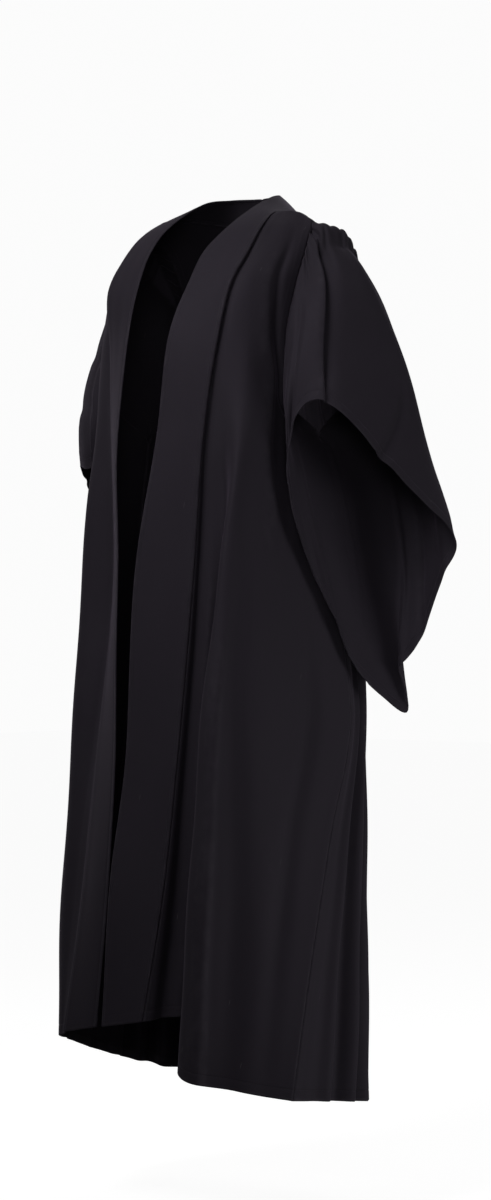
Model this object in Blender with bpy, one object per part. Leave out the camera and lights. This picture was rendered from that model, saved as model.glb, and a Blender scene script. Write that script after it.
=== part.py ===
"""Graduation gown, open in front, on a general standing figure that is left out.

Metres, +Z up, front along -Y, +X to the left side of whoever wears it.
The origin is midway between the two shoulder seats, at the centre of the neck opening.
Every piece of cloth is a closed wall of even thickness round a grid of points.
Grid rows run down from the neck or the armhole, and columns run anticlockwise seen from above.
"""
import bmesh
import bpy
import numpy as np

CLOTH_THICKNESS = 0.0016
BAND_THICKNESS = 0.0024
SEAM_GAP = 0.0005
CLOTH_COLOUR = (0.0165, 0.0150, 0.0180, 1.0)
CLOTH_ROUGHNESS = 0.82

# How finely the surfaces are cut
NECK_ROWS = 11
ARM_ROWS = 8
SKIRT_ROWS = 12
BACK_ARM_ROWS = 5
YOKE_ARM_COLUMNS = 5
YOKE_ROWS = 4
BAND_COLUMNS = 3
FRONT_COLUMNS = 14
SLEEVE_ROWS = 11
ARMHOLE_ROW_EASE = 1.35

# The back panel's flutes, from the gathers at the yoke to the hem
FLUTE_COUNT = 14
FLUTE_COLUMNS = 5
FLUTE_TOP_DEPTH = 0.0030
FLUTE_HEM_DEPTH = 0.0135
FLUTE_SIDE_FADE = 0.20
FLUTE_WANDER = 0.5
FLUTE_WANDER_TURNS = 1.4

# Pleats in the sleeve head, across the stretch of armhole that they are sewn into
PLEAT_COUNT = 5
PLEAT_DEPTH = 0.0030
PLEAT_RISE = 0.06
PLEAT_FADE = 0.42
HEAD_START = 0.42
HEAD_WIDTH = 0.34
HEAD_LEAN = (0.45, 0.0, 0.9)
# How far the sleeve head stands up off a straight fall, and where that ends
HEAD_PUFF = 0.022
HEAD_PUFF_END = 0.18

YOKE_SEAM_Z = -0.130
YOKE_CROWN = 0.006
YOKE_CROWN_FULL_Y = 0.08
YOKE_CROWN_LEAN = (0.0, 0.8, 0.6)
YOKE_ARM_MIDDLE = (0.166, 0.040, -0.064)
YOKE_ARM_MIDDLE_AT = 0.45
UNDERARM_Z = -0.360
SHOULDER_TIP = (0.165, -0.004, -0.036)
BAND_SHOULDER_ROW = 3
FIRST_TABLE_DROP = 0.008
SLEEVE_SEAT_ROWS = 1.5
SHARP_EDGE_DEGREES = 50

# Left band, one row for each section from the centre back of the neck to the hem
# columns: free edge x, y, z, then seam edge x, y, z
BAND_LEFT = (
    (0.000, 0.070, 0.012, 0.000, 0.090, -0.028),
    (0.048, 0.054, 0.012, 0.068, 0.078, -0.024),
    (0.066, 0.010, 0.004, 0.104, 0.016, -0.018),
    (0.067, -0.032, -0.015, 0.110, -0.028, -0.023),
    (0.065, -0.080, -0.044, 0.122, -0.070, -0.048),
    (0.056, -0.125, -0.086, 0.128, -0.108, -0.090),
    (0.052, -0.150, -0.130, 0.128, -0.140, -0.130),
    (0.050, -0.191, -0.210, 0.121, -0.166, -0.222),
    (0.043, -0.209, -0.350, 0.109, -0.180, -0.345),
    (0.021, -0.231, -0.545, 0.099, -0.191, -0.545),
    (0.005, -0.238, -0.840, 0.084, -0.212, -0.835),
    (-0.009, -0.255, -1.020, 0.073, -0.231, -1.030),
    (-0.020, -0.262, -1.224, 0.055, -0.255, -1.212),
)
# Right band: the same down to the chest, then it hangs further back and turns under the left flute
BAND_RIGHT = BAND_LEFT[:6] + (
    (0.052, -0.150, -0.130, 0.126, -0.137, -0.130),
    (0.049, -0.177, -0.210, 0.115, -0.146, -0.222),
    (0.040, -0.206, -0.350, 0.101, -0.158, -0.345),
    (0.030, -0.219, -0.545, 0.090, -0.163, -0.545),
    (0.016, -0.239, -0.840, 0.092, -0.199, -0.835),
    (0.030, -0.238, -1.020, 0.108, -0.211, -1.030),
    (0.060, -0.232, -1.230, 0.136, -0.224, -1.244),
)

# Front seam of the yoke, columns: share of the way from band to shoulder, x, y, z
YOKE_FRONT_SEAM = (
    (0.00, 0.110, -0.028, -0.023),
    (0.28, 0.125, -0.014, -0.0195),
    (0.55, 0.141, -0.008, -0.0225),
    (1.00, 0.165, -0.004, -0.036),
)

# Left front, one row for each height
# columns: z, then x, y of the valley beside the band, the flute's crest, the middle and the side
LEFT_FRONT = (
    (-0.050, 0.129, -0.061, 0.144, -0.044, 0.162, -0.022, 0.170, -0.013),
    (-0.090, 0.135, -0.100, 0.150, -0.084, 0.168, -0.050, 0.174, -0.033),
    (-0.130, 0.137, -0.134, 0.154, -0.118, 0.170, -0.076, 0.175, -0.051),
    (-0.220, 0.132, -0.159, 0.158, -0.136, 0.168, -0.098, 0.173, -0.073),
    (-0.306, 0.128, -0.166, 0.164, -0.150, 0.170, -0.106, 0.173, -0.070),
    (-0.360, 0.128, -0.166, 0.172, -0.168, 0.175, -0.114, 0.175, 0.000),
    (-0.450, 0.130, -0.162, 0.180, -0.196, 0.188, -0.131, 0.188, 0.000),
    (-0.600, 0.128, -0.164, 0.181, -0.229, 0.208, -0.166, 0.213, 0.000),
    (-0.750, 0.124, -0.172, 0.180, -0.259, 0.221, -0.192, 0.236, -0.001),
    (-0.950, 0.116, -0.179, 0.184, -0.286, 0.233, -0.226, 0.259, -0.074),
    (-1.120, 0.110, -0.184, 0.185, -0.303, 0.241, -0.250, 0.276, -0.134),
    (-1.300, 0.103, -0.190, 0.185, -0.318, 0.250, -0.268, 0.290, -0.189),
)
# Right front, the same columns with x measured to the right; its flute is low and hangs back
RIGHT_FRONT = (
    (-0.050, 0.129, -0.061, 0.144, -0.044, 0.162, -0.022, 0.170, -0.013),
    (-0.090, 0.134, -0.095, 0.150, -0.074, 0.167, -0.044, 0.174, -0.033),
    (-0.130, 0.135, -0.124, 0.153, -0.101, 0.169, -0.066, 0.175, -0.051),
    (-0.220, 0.127, -0.143, 0.150, -0.127, 0.167, -0.092, 0.173, -0.073),
    (-0.306, 0.118, -0.149, 0.150, -0.136, 0.168, -0.102, 0.173, -0.070),
    (-0.360, 0.116, -0.150, 0.154, -0.140, 0.174, -0.100, 0.175, 0.000),
    (-0.450, 0.113, -0.152, 0.162, -0.148, 0.184, -0.098, 0.188, 0.000),
    (-0.600, 0.110, -0.156, 0.165, -0.158, 0.196, -0.104, 0.211, 0.010),
    (-0.750, 0.114, -0.172, 0.168, -0.168, 0.206, -0.102, 0.230, 0.012),
    (-0.950, 0.128, -0.193, 0.174, -0.182, 0.222, -0.106, 0.250, 0.002),
    (-1.120, 0.140, -0.206, 0.180, -0.188, 0.235, -0.108, 0.262, -0.010),
    (-1.300, 0.150, -0.221, 0.172, -0.198, 0.240, -0.107, 0.276, -0.022),
)
# Hem heights of the valley, crest, middle and side lines
LEFT_HEM = (-1.205, -1.272, -1.294, -1.312)
RIGHT_HEM = (-1.249, -1.256, -1.275, -1.298)
# Where the four lines leave the yoke seam, as a share of it, and their share of the panel's width
FRONT_LINE_TOPS = (0.12, 0.45, 0.82, 1.0)
FRONT_LINE_PLACES = (0.17, 0.46, 0.74, 1.0)

# Back, one row for each height
# columns: z, x, y of the left side, left blade and left middle, y of the centre,
# then x, y of the right middle, right blade and right side
BACK = (
    (-0.130, 0.165, 0.075, 0.122, 0.092, 0.064, 0.105, 0.110, 0.064, 0.105, 0.122, 0.092, 0.165, 0.075),
    (-0.200, 0.165, 0.085, 0.133, 0.104, 0.072, 0.118, 0.121, 0.072, 0.118, 0.133, 0.104, 0.165, 0.085),
    (-0.300, 0.165, 0.070, 0.146, 0.098, 0.082, 0.121, 0.128, 0.082, 0.121, 0.146, 0.098, 0.165, 0.070),
    (-0.360, 0.175, 0.000, 0.166, 0.070, 0.095, 0.120, 0.130, 0.095, 0.120, 0.166, 0.070, 0.175, 0.000),
    (-0.550, 0.205, 0.000, 0.190, 0.062, 0.112, 0.117, 0.131, 0.112, 0.117, 0.190, 0.064, 0.205, 0.008),
    (-0.750, 0.236, -0.001, 0.212, 0.052, 0.130, 0.111, 0.133, 0.130, 0.119, 0.220, 0.068, 0.230, 0.012),
    (-1.000, 0.264, -0.092, 0.253, -0.010, 0.178, 0.080, 0.144, 0.152, 0.125, 0.246, 0.072, 0.254, -0.001),
    (-1.300, 0.290, -0.189, 0.282, -0.056, 0.190, 0.068, 0.156, 0.168, 0.132, 0.270, 0.070, 0.276, -0.022),
)
BACK_LINE_SIGNS = (1, 1, 1, 1, -1, -1, -1)
BACK_HEM = (-1.312, -1.326, -1.345, -1.360, -1.345, -1.324, -1.298)
BACK_LINE_PLACES = (0.0, 0.16, 0.33, 0.5, 0.67, 0.84, 1.0)

# Left sleeve, one row for each line down from the armhole, which starts at the underarm and
# goes up the front, over the shoulder and down the back
# columns: share of the armhole, upper x, y, z, lower x, y, z, cuff x, y, z
SLEEVE = (
    (0.00, 0.193, 0.010, -0.392, 0.224, 0.022, -0.545, 0.251, 0.016, -0.718),
    (0.10, 0.186, -0.074, -0.350, 0.212, -0.072, -0.470, 0.228, -0.044, -0.605),
    (0.20, 0.184, -0.092, -0.290, 0.204, -0.102, -0.380, 0.214, -0.098, -0.490),
    (0.30, 0.190, -0.078, -0.210, 0.204, -0.102, -0.300, 0.206, -0.106, -0.395),
    (0.38, 0.200, -0.058, -0.165, 0.218, -0.090, -0.255, 0.218, -0.101, -0.330),
    (0.455, 0.212, -0.032, -0.126, 0.240, -0.067, -0.236, 0.258, -0.085, -0.311),
    (0.51, 0.226, -0.002, -0.108, 0.262, -0.026, -0.248, 0.290, -0.053, -0.346),
    (0.56, 0.236, 0.020, -0.106, 0.288, 0.024, -0.270, 0.318, -0.016, -0.400),
    (0.61, 0.238, 0.042, -0.124, 0.306, 0.060, -0.302, 0.344, 0.036, -0.457),
    (0.67, 0.224, 0.086, -0.158, 0.300, 0.092, -0.360, 0.360, 0.089, -0.505),
    (0.77, 0.206, 0.116, -0.230, 0.275, 0.128, -0.430, 0.330, 0.087, -0.590),
    (0.86, 0.196, 0.110, -0.305, 0.245, 0.126, -0.505, 0.298, 0.073, -0.668),
    (0.90, 0.194, 0.090, -0.335, 0.239, 0.108, -0.540, 0.277, 0.066, -0.706),
    (0.935, 0.192, 0.064, -0.360, 0.232, 0.086, -0.560, 0.281, 0.078, -0.762),
)
SLEEVE_UPPER_AT = 0.30
SLEEVE_LOWER_AT = 0.66
# The right cuff hangs a little closer and further back, and its front edge lies lower than the left one's
RIGHT_CUFF_SWING = (-0.008, 0.018, 0.0)
RIGHT_EDGE_SHIFT = (0.009, -0.008, -0.085)
RIGHT_EDGE_AT = 0.43
RIGHT_EDGE_WIDTH = 0.10


def smooth_curve(places, rows, at, level=False):
    """Points at the places asked for, on a smooth curve through the rows.

    Each row's slope comes from its two neighbours. A level curve lies flat where it turns,
    and never overshoots.
    """
    places = np.asarray(places, float)
    rows = np.asarray(rows, float)
    at = np.asarray(at, float)
    slopes = np.gradient(rows, places, axis=0)
    if level:
        steps = np.diff(rows, axis=0) / np.diff(places)[:, None]
        product = steps[:-1] * steps[1:]
        total = np.where(product > 0, steps[:-1] + steps[1:], 1.0)
        slopes[1:-1] = np.where(product > 0, 2 * product / total, 0.0)
    left = np.clip(np.searchsorted(places, at) - 1, 0, len(places) - 2)
    length = (places[left + 1] - places[left])[:, None]
    s = (at - places[left])[:, None] / length
    start_share = 2 * s ** 3 - 3 * s ** 2 + 1
    end_share = 3 * s ** 2 - 2 * s ** 3
    start_slope = s ** 3 - 2 * s ** 2 + s
    end_slope = s ** 3 - s ** 2
    return (start_share * rows[left] + end_share * rows[left + 1]
            + length * (start_slope * slopes[left] + end_slope * slopes[left + 1]))


def straight_curve(places, rows, at):
    """Points at the places asked for, on straight runs between the rows."""
    rows = np.asarray(rows, float)
    return np.stack([np.interp(at, places, rows[:, axis]) for axis in range(rows.shape[1])], axis=1)


def lengths_along(points):
    """Each point's share of the way along its line, from 0 to 1."""
    steps = np.linalg.norm(np.diff(points, axis=0), axis=1)
    return np.concatenate(([0.0], np.cumsum(steps))) / steps.sum()


def mirrored(points):
    """The same points on the other side of the middle."""
    return points * np.array((-1.0, 1.0, 1.0))


def front_row_shares(top_z, hem_z):
    """Shares of the way from shoulder to hem: the armhole's rows, closer at the top, then the skirt's."""
    underarm = (UNDERARM_Z - top_z) / (hem_z - top_z)
    arm = underarm * np.linspace(0, 1, ARM_ROWS + 1) ** ARMHOLE_ROW_EASE
    skirt = np.linspace(underarm, 1, SKIRT_ROWS + 1)
    return np.concatenate((arm, skirt[1:]))


def band_edges(table, row_shares):
    """Both long edges of a band: the neck rows at even spacing, then the rows that the front shares."""
    rows = np.array(table)
    places = lengths_along(rows[:, 3:])
    neck_at = np.linspace(0, places[BAND_SHOULDER_ROW], NECK_ROWS + 1)
    seam_z = rows[BAND_SHOULDER_ROW:, 5]
    wanted_z = seam_z[0] + row_shares * (seam_z[-1] - seam_z[0])
    front_at = np.interp(-wanted_z, -seam_z, places[BAND_SHOULDER_ROW:])
    at = np.concatenate((neck_at, front_at[1:]))
    both = smooth_curve(places, rows, at)
    return both[:, :3], both[:, 3:]


def band_grid(free_edge, seam_edge):
    """Band: straight across from its free edge to its seam."""
    across = np.linspace(0, 1, BAND_COLUMNS + 1)[None, :, None]
    return free_edge[:, None] * (1 - across) + seam_edge[:, None] * across


def back_rows():
    """The back's table as heights and, for each height, the x and y of its seven lines."""
    rows = np.insert(np.array(BACK), 7, 0.0, axis=1)
    points = rows[:, 1:].reshape(len(rows), -1, 2)
    points[..., 0] *= BACK_LINE_SIGNS
    return -rows[:, 0], points


def yoke_front_seam():
    """The seam between yoke and front, cut as finely as the yoke's rows."""
    rows = np.array(YOKE_FRONT_SEAM)
    down = np.linspace(0, 1, YOKE_ROWS + 1)
    return down, smooth_curve(rows[:, 0], rows[:, 1:], down)


def front_top_places():
    """Where the front's columns leave the yoke seam, as shares of it."""
    places = (0.0,) + FRONT_LINE_PLACES
    return np.interp(np.linspace(0, 1, FRONT_COLUMNS + 1), places, (0.0,) + FRONT_LINE_TOPS)


def front_grid(table, hem, seam_edge, row_shares):
    """Front panel: five long lines, each a smooth curve over height, joined across by a smooth curve."""
    rows = np.array(table)
    heights = -rows[:, 0]
    seam_places, seam = yoke_front_seam()
    tops = straight_curve(seam_places, seam, FRONT_LINE_TOPS)
    lines = [seam_edge]
    for number, (top, hem_z) in enumerate(zip(tops, hem)):
        z = top[2] + row_shares * (hem_z - top[2])
        table_xy = rows[:, 1 + 2 * number:3 + 2 * number]
        below = heights > FIRST_TABLE_DROP - top[2]
        places = np.concatenate(([-top[2]], heights[below]))
        xy = smooth_curve(places, np.vstack((top[:2], table_xy[below])), -z, level=True)
        lines.append(np.column_stack((xy, z)))
    places = (0.0,) + FRONT_LINE_PLACES
    at = np.linspace(0, 1, FRONT_COLUMNS + 1)
    grid = np.stack([smooth_curve(places, row, at) for row in np.stack(lines, axis=1)])
    grid[0] = straight_curve(seam_places, seam, front_top_places())
    return grid


def back_grid(left_side, right_side):
    """Back panel: seven long lines joined across, then thrown into flutes that fade towards the sides."""
    heights, rows = back_rows()
    arm_z = np.linspace(YOKE_SEAM_Z, UNDERARM_Z, BACK_ARM_ROWS + 1)
    skirt_shares = np.linspace(0, 1, SKIRT_ROWS + 1)[1:]
    lines = []
    for number, hem_z in enumerate(BACK_HEM):
        z = np.concatenate((arm_z, UNDERARM_Z + skirt_shares * (hem_z - UNDERARM_Z)))
        lines.append(np.column_stack((smooth_curve(heights, rows[:, number], -z, level=True), z)))
    lines[0][BACK_ARM_ROWS:] = left_side
    lines[-1][BACK_ARM_ROWS:] = right_side
    at = np.linspace(0, 1, FLUTE_COUNT * FLUTE_COLUMNS + 1)
    stack = np.stack(lines, axis=1)
    base = np.stack([smooth_curve(BACK_LINE_PLACES, row, at) for row in stack])
    across = np.gradient(base, axis=1)
    outward = np.stack((across[..., 1], -across[..., 0], np.zeros_like(across[..., 0])), axis=-1)
    outward /= np.linalg.norm(outward, axis=-1, keepdims=True)
    down = lengths_along(base[:, base.shape[1] // 2])[:, None]
    depth = FLUTE_TOP_DEPTH + (FLUTE_HEM_DEPTH - FLUTE_TOP_DEPTH) * down
    fade = np.clip(np.minimum(at, 1 - at) / FLUTE_SIDE_FADE, 0, 1)[None]
    wander = FLUTE_WANDER * np.sin(2 * np.pi * FLUTE_WANDER_TURNS * at)
    wave = np.sin(2 * np.pi * FLUTE_COUNT * at + wander)[None]
    return base + outward * (depth * wave * fade * fade * (3 - 2 * fade))[..., None]


def yoke_grid(neck_edge, arm_top, back_columns):
    """Yoke: straight ribs from the neck edge to the outer edge, crowned a little between."""
    corner_x = arm_top[-1, 0]
    back_x = np.linspace(corner_x, -corner_x, back_columns + 1)
    top_row = back_rows()[1][0, ::-1]
    back_y = np.interp(back_x, top_row[:, 0], top_row[:, 1])
    back_seam = np.column_stack((back_x, back_y, np.full(len(back_x), YOKE_SEAM_Z)))
    outer = np.vstack((arm_top, back_seam[1:-1], mirrored(arm_top)[::-1]))
    down = np.linspace(0, 1, YOKE_ROWS + 1)
    grid = neck_edge[None] * (1 - down)[:, None, None] + outer[None] * down[:, None, None]
    toward_back = np.clip(grid[..., 1] / YOKE_CROWN_FULL_Y, 0, 1)
    crown = YOKE_CROWN * np.sin(np.pi * down)[:, None] * toward_back
    grid += crown[..., None] * np.array(YOKE_CROWN_LEAN)
    grid[:, 0] = yoke_front_seam()[1]
    grid[:, -1] = mirrored(grid[:, 0])
    return grid


def armhole_loop(front_side, yoke_arm, back_side):
    """Armhole from the underarm up the front, over the shoulder and down the back, each step split."""
    parts = ((front_side[::-1], 2), (yoke_arm, 3), (back_side, 2))
    points = []
    for line, splits in parts:
        fine = np.linspace(0, len(line) - 1, (len(line) - 1) * splits + 1)
        points.append(straight_curve(np.arange(len(line)), line, fine)[:-1])
    return np.vstack(points)


def sleeve_grid(loop):
    """Sleeve: each line runs through the armhole, the upper arm, the lower arm and the cuff."""
    closed = np.vstack((loop, loop[:1]))
    shares = lengths_along(closed)[:-1]
    rows = np.array(SLEEVE)
    places = np.concatenate((rows[-3:, 0] - 1, rows[:, 0], rows[:3, 0] + 1))
    wrapped = np.vstack((rows[-3:, 1:], rows[:, 1:], rows[:3, 1:]))
    rings = smooth_curve(places, wrapped, shares)
    stations = (0.0, SLEEVE_UPPER_AT, SLEEVE_LOWER_AT, 1.0)
    down = np.linspace(0, 1, SLEEVE_ROWS + 1)
    lines = [smooth_curve(stations, (start, ring[:3], ring[3:6], ring[6:]), down)
             for start, ring in zip(loop, rings)]
    grid = np.stack(lines, axis=1)
    fall = down[:, None]
    head = np.clip(1 - fall / PLEAT_FADE, 0, 1) * np.clip(fall / PLEAT_RISE, 0, 1)
    top = np.clip((shares - HEAD_START) / HEAD_WIDTH, 0, 1)[None]
    folds = PLEAT_DEPTH * head * np.sin(2 * np.pi * PLEAT_COUNT * top)
    puff = HEAD_PUFF * np.sin(np.pi * np.clip(fall / HEAD_PUFF_END, 0, 1)) ** 2
    return grid + np.array(HEAD_LEAN) * ((folds + puff) * np.sin(np.pi * top))[..., None]


def grid_normals(grid, closed):
    """Outward unit normals: the step down a column crossed with the step along a row."""
    down = np.gradient(grid, axis=0)
    if closed:
        along = np.roll(grid, -1, axis=1) - np.roll(grid, 1, axis=1)
    else:
        along = np.gradient(grid, axis=1)
    normals = np.cross(down, along)
    return normals / np.linalg.norm(normals, axis=-1, keepdims=True)


def shared_normals(grids):
    """Normals of all the body's pieces, averaged where two pieces meet at a seam."""
    totals = {}
    own = {name: grid_normals(grid, False) for name, grid in grids.items()}
    for name, grid in grids.items():
        for point, normal in zip(np.round(grid, 6).reshape(-1, 3), own[name].reshape(-1, 3)):
            key = tuple(point)
            totals[key] = totals.get(key, 0) + normal
    shared = {}
    for name, grid in grids.items():
        flat = np.array([totals[tuple(point)] for point in np.round(grid, 6).reshape(-1, 3)])
        flat /= np.linalg.norm(flat, axis=1, keepdims=True)
        shared[name] = flat.reshape(grid.shape)
    return shared


def match_shoulder_seam(front_normals, yoke_normals):
    """Give the yoke's front edge and the front's top edge the same normals, though their points differ."""
    top_at = front_top_places()
    down = np.linspace(0, 1, YOKE_ROWS + 1)
    both = yoke_normals + straight_curve(top_at, front_normals, down)
    both /= np.linalg.norm(both, axis=1, keepdims=True)
    yoke_normals[:] = both
    front_normals[:] = straight_curve(down, both, top_at)


def lie_level(normals):
    """Turn an edge's normals horizontal, so that a level seam's two edges face each other squarely."""
    normals[:, 2] = 0.0
    normals /= np.linalg.norm(normals, axis=1, keepdims=True)


def pulled_in(grid, top=True, bottom=False, first=True, last=True):
    """The grid with its seamed edges drawn back by half the seam gap, along the cloth."""
    result = grid.copy()
    for wanted, edge, inside in ((top, np.s_[0], np.s_[1]), (bottom, np.s_[-1], np.s_[-2]),
                                 (first, np.s_[:, 0], np.s_[:, 1]), (last, np.s_[:, -1], np.s_[:, -2])):
        if wanted:
            inward = grid[inside] - grid[edge]
            inward /= np.linalg.norm(inward, axis=-1, keepdims=True)
            result[edge] += inward * SEAM_GAP / 2
    return result


def cloth_material(name):
    material = bpy.data.materials.new(name)
    material.use_nodes = True
    shader = material.node_tree.nodes["Principled BSDF"]
    shader.inputs["Base Color"].default_value = CLOTH_COLOUR
    shader.inputs["Roughness"].default_value = CLOTH_ROUGHNESS
    shader.inputs["Metallic"].default_value = 0.0
    return material


def make_wall(name, grid, normals, thickness, closed=False):
    """A closed wall: the grid moved half the thickness out and in, with its open edges joined."""
    rows, columns = grid.shape[:2]
    outer = (grid + normals * thickness / 2).reshape(-1, 3)
    inner = (grid - normals * thickness / 2).reshape(-1, 3)
    index = np.arange(rows * columns).reshape(rows, columns)
    if closed:
        index = np.hstack((index, index[:, :1]))
    a, b = index[:-1, :-1].ravel(), index[:-1, 1:].ravel()
    c, d = index[1:, 1:].ravel(), index[1:, :-1].ravel()
    out_faces = np.vstack((np.column_stack((a, d, c)), np.column_stack((a, c, b))))
    in_faces = out_faces[:, ::-1] + rows * columns
    borders = [index[0, ::-1], index[-1]]
    if not closed:
        borders += [index[:, 0], index[::-1, -1]]
    edges = np.vstack([np.column_stack((border[:-1], border[1:])) for border in borders])
    lift = rows * columns
    rims = np.vstack((np.column_stack((edges[:, 1], edges[:, 0], edges[:, 0] + lift)),
                      np.column_stack((edges[:, 1], edges[:, 0] + lift, edges[:, 1] + lift))))
    faces = np.vstack((out_faces, in_faces, rims))
    mesh = bpy.data.meshes.new(name)
    mesh.from_pydata(np.vstack((outer, inner)).tolist(), [], faces.tolist())
    work = bmesh.new()
    work.from_mesh(mesh)
    if work.calc_volume(signed=True) < 0:
        bmesh.ops.reverse_faces(work, faces=work.faces)
    work.to_mesh(mesh)
    work.free()
    mesh.shade_smooth()
    mesh.set_sharp_from_angle(angle=np.radians(SHARP_EDGE_DEGREES))
    piece = bpy.data.objects.new(name, mesh)
    piece.data.materials.append(cloth_material(name + "_cloth"))
    bpy.context.scene.collection.objects.link(piece)
    return piece


def seat_sleeve(grid, body_normals):
    """Set the sleeve's first ring clear of the armhole edge, further where the pieces meet at an angle."""
    own = grid_normals(grid, True)[0]
    turn = np.abs((own - body_normals)[:, 0])
    ease = np.exp(-np.arange(len(grid)) / SLEEVE_SEAT_ROWS)[:, None]
    grid[..., 0] += ease * (SEAM_GAP + CLOTH_THICKNESS / 2 * turn)
    return grid


def make_sleeve(name, front, front_normals, arm_top, yoke_normals, back, back_normals, right=False):
    """One sleeve, worked out on the left; the right one is turned over at the end."""
    loop = armhole_loop(front[:ARM_ROWS + 1, -1], arm_top, back[:BACK_ARM_ROWS + 1, 0])
    loop_normals = armhole_loop(front_normals[:ARM_ROWS + 1, -1], yoke_normals[-1, :YOKE_ARM_COLUMNS + 1],
                                back_normals[:BACK_ARM_ROWS + 1, 0])
    grid = seat_sleeve(sleeve_grid(loop), loop_normals)
    if right:
        fall = np.linspace(0, 1, len(grid))[:, None, None]
        shares = lengths_along(np.vstack((loop, loop[:1])))[:-1]
        edge = np.exp(-((shares - RIGHT_EDGE_AT) / RIGHT_EDGE_WIDTH) ** 2)[None, :, None]
        grid = grid + fall ** 3 * np.array(RIGHT_CUFF_SWING) + fall ** 2 * edge * np.array(RIGHT_EDGE_SHIFT)
        grid = mirrored(grid)[:, ::-1]
    make_wall(name, grid, grid_normals(grid, True), CLOTH_THICKNESS, closed=True)


def make_gown():
    row_shares = front_row_shares(SHOULDER_TIP[2], LEFT_HEM[-1])
    left_free, left_seam = band_edges(BAND_LEFT, row_shares)
    right_free, right_seam = band_edges(BAND_RIGHT, row_shares)
    front_left = front_grid(LEFT_FRONT, LEFT_HEM, left_seam[NECK_ROWS:], row_shares)
    right_shares = front_row_shares(SHOULDER_TIP[2], RIGHT_HEM[-1])
    front_right = front_grid(RIGHT_FRONT, RIGHT_HEM, right_seam[NECK_ROWS:], right_shares)
    left_side = front_left[ARM_ROWS:, -1]
    right_side = front_right[ARM_ROWS:, -1]
    back = back_grid(left_side, mirrored(right_side))

    arm_rows = (SHOULDER_TIP, YOKE_ARM_MIDDLE, back[0, 0])
    arm_top = smooth_curve((0.0, YOKE_ARM_MIDDLE_AT, 1.0), arm_rows, np.linspace(0, 1, YOKE_ARM_COLUMNS + 1))
    neck_edge = np.vstack((left_seam[:NECK_ROWS + 1][::-1], mirrored(left_seam[1:NECK_ROWS + 1])))
    yoke = yoke_grid(neck_edge, arm_top, 2 * NECK_ROWS - 2 * YOKE_ARM_COLUMNS)

    body = {
        "yoke": yoke,
        "band_left": band_grid(left_free, left_seam),
        "band_right": mirrored(band_grid(right_free, right_seam))[:, ::-1],
        "front_left": front_left,
        "front_right": mirrored(front_right)[:, ::-1],
        "back": back,
    }
    normals = shared_normals(body)
    match_shoulder_seam(normals["front_left"][0], normals["yoke"][:, 0])
    match_shoulder_seam(normals["front_right"][0, ::-1], normals["yoke"][:, -1])
    lie_level(normals["yoke"][-1, YOKE_ARM_COLUMNS:-YOKE_ARM_COLUMNS])
    lie_level(normals["back"][0])
    free_edges = {"yoke": dict(bottom=True), "band_left": dict(first=False), "band_right": dict(last=False)}
    for name, grid in body.items():
        thickness = BAND_THICKNESS if name.startswith("band") else CLOTH_THICKNESS
        make_wall(name, pulled_in(grid, **free_edges.get(name, {})), normals[name], thickness)

    make_sleeve("sleeve_left", front_left, normals["front_left"], arm_top, normals["yoke"],
                back, normals["back"])
    turned = [mirrored(grid)[:, ::-1] for grid in
              (body["front_right"], normals["front_right"], normals["yoke"], back, normals["back"])]
    make_sleeve("sleeve_right", turned[0], turned[1], arm_top, turned[2], turned[3], turned[4], right=True)


for old in list(bpy.data.objects):
    bpy.data.objects.remove(old)
make_gown()
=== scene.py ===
import bpy
import numpy as np
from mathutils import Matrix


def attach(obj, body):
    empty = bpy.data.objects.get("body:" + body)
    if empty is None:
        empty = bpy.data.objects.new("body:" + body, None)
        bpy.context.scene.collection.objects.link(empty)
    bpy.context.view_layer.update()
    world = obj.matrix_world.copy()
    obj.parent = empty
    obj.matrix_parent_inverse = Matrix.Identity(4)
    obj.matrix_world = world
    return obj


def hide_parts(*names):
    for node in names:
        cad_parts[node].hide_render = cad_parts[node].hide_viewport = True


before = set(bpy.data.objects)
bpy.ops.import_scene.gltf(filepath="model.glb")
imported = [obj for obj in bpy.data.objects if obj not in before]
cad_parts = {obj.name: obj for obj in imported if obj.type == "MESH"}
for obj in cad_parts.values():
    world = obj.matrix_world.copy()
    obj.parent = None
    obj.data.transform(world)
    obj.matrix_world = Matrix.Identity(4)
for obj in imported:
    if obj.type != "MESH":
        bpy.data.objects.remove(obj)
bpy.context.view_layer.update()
print("frame loaded:", ", ".join(sorted(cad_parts)))

# Gown, open in front, worn as on a general figure that isn't shown.
# Metres, +Z up, front along -Y, +X to the wearer's left, origin between the shoulder seats.
# Every panel is a grid of points: rows run down, columns run anticlockwise seen from above.

# how the photograph was taken: level, from the wearer's front left
view = {"azimuth": 42.0, "away": 5.5, "aside": 0.0205, "height": -0.60, "lens": 108.9}
studio = {
    "floorZ": -1.50,
    "floorReach": 14.0,         # half the floor's width
    "paper": {
        "Base Color": (0.30, 0.30, 0.30, 1.0), "Roughness": 0.95, "Specular IOR Level": 0.1,
        "Emission Color": (1.0, 1.0, 1.0, 1.0),
    },
    "glow": 0.92,               # what the camera alone sees on top of the lit paper
    "airGlow": 0.85,            # and on top of the air's light
    "world": 0.12,
    # name: azimuth, elevation, distance, size, watts, height that it points at, spread in degrees
    "lights": {
        "keyLamp": (2, 42, 2.0, 0.9, 3.9, -0.38, 68),
        "lowLamp": (119, -12, 2.2, 0.9, 7.8, -0.94, 105),
        "leftLamp": (-96, 4, 3.0, 1.8, 3.2, -0.65, 180),
        "backLamp": (205, 48, 3.6, 2.2, 12, -0.65, 180),
        "frontLamp": (42, 6, 4.2, 1.2, 1.65, -0.34, 42),
    },
}


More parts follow.
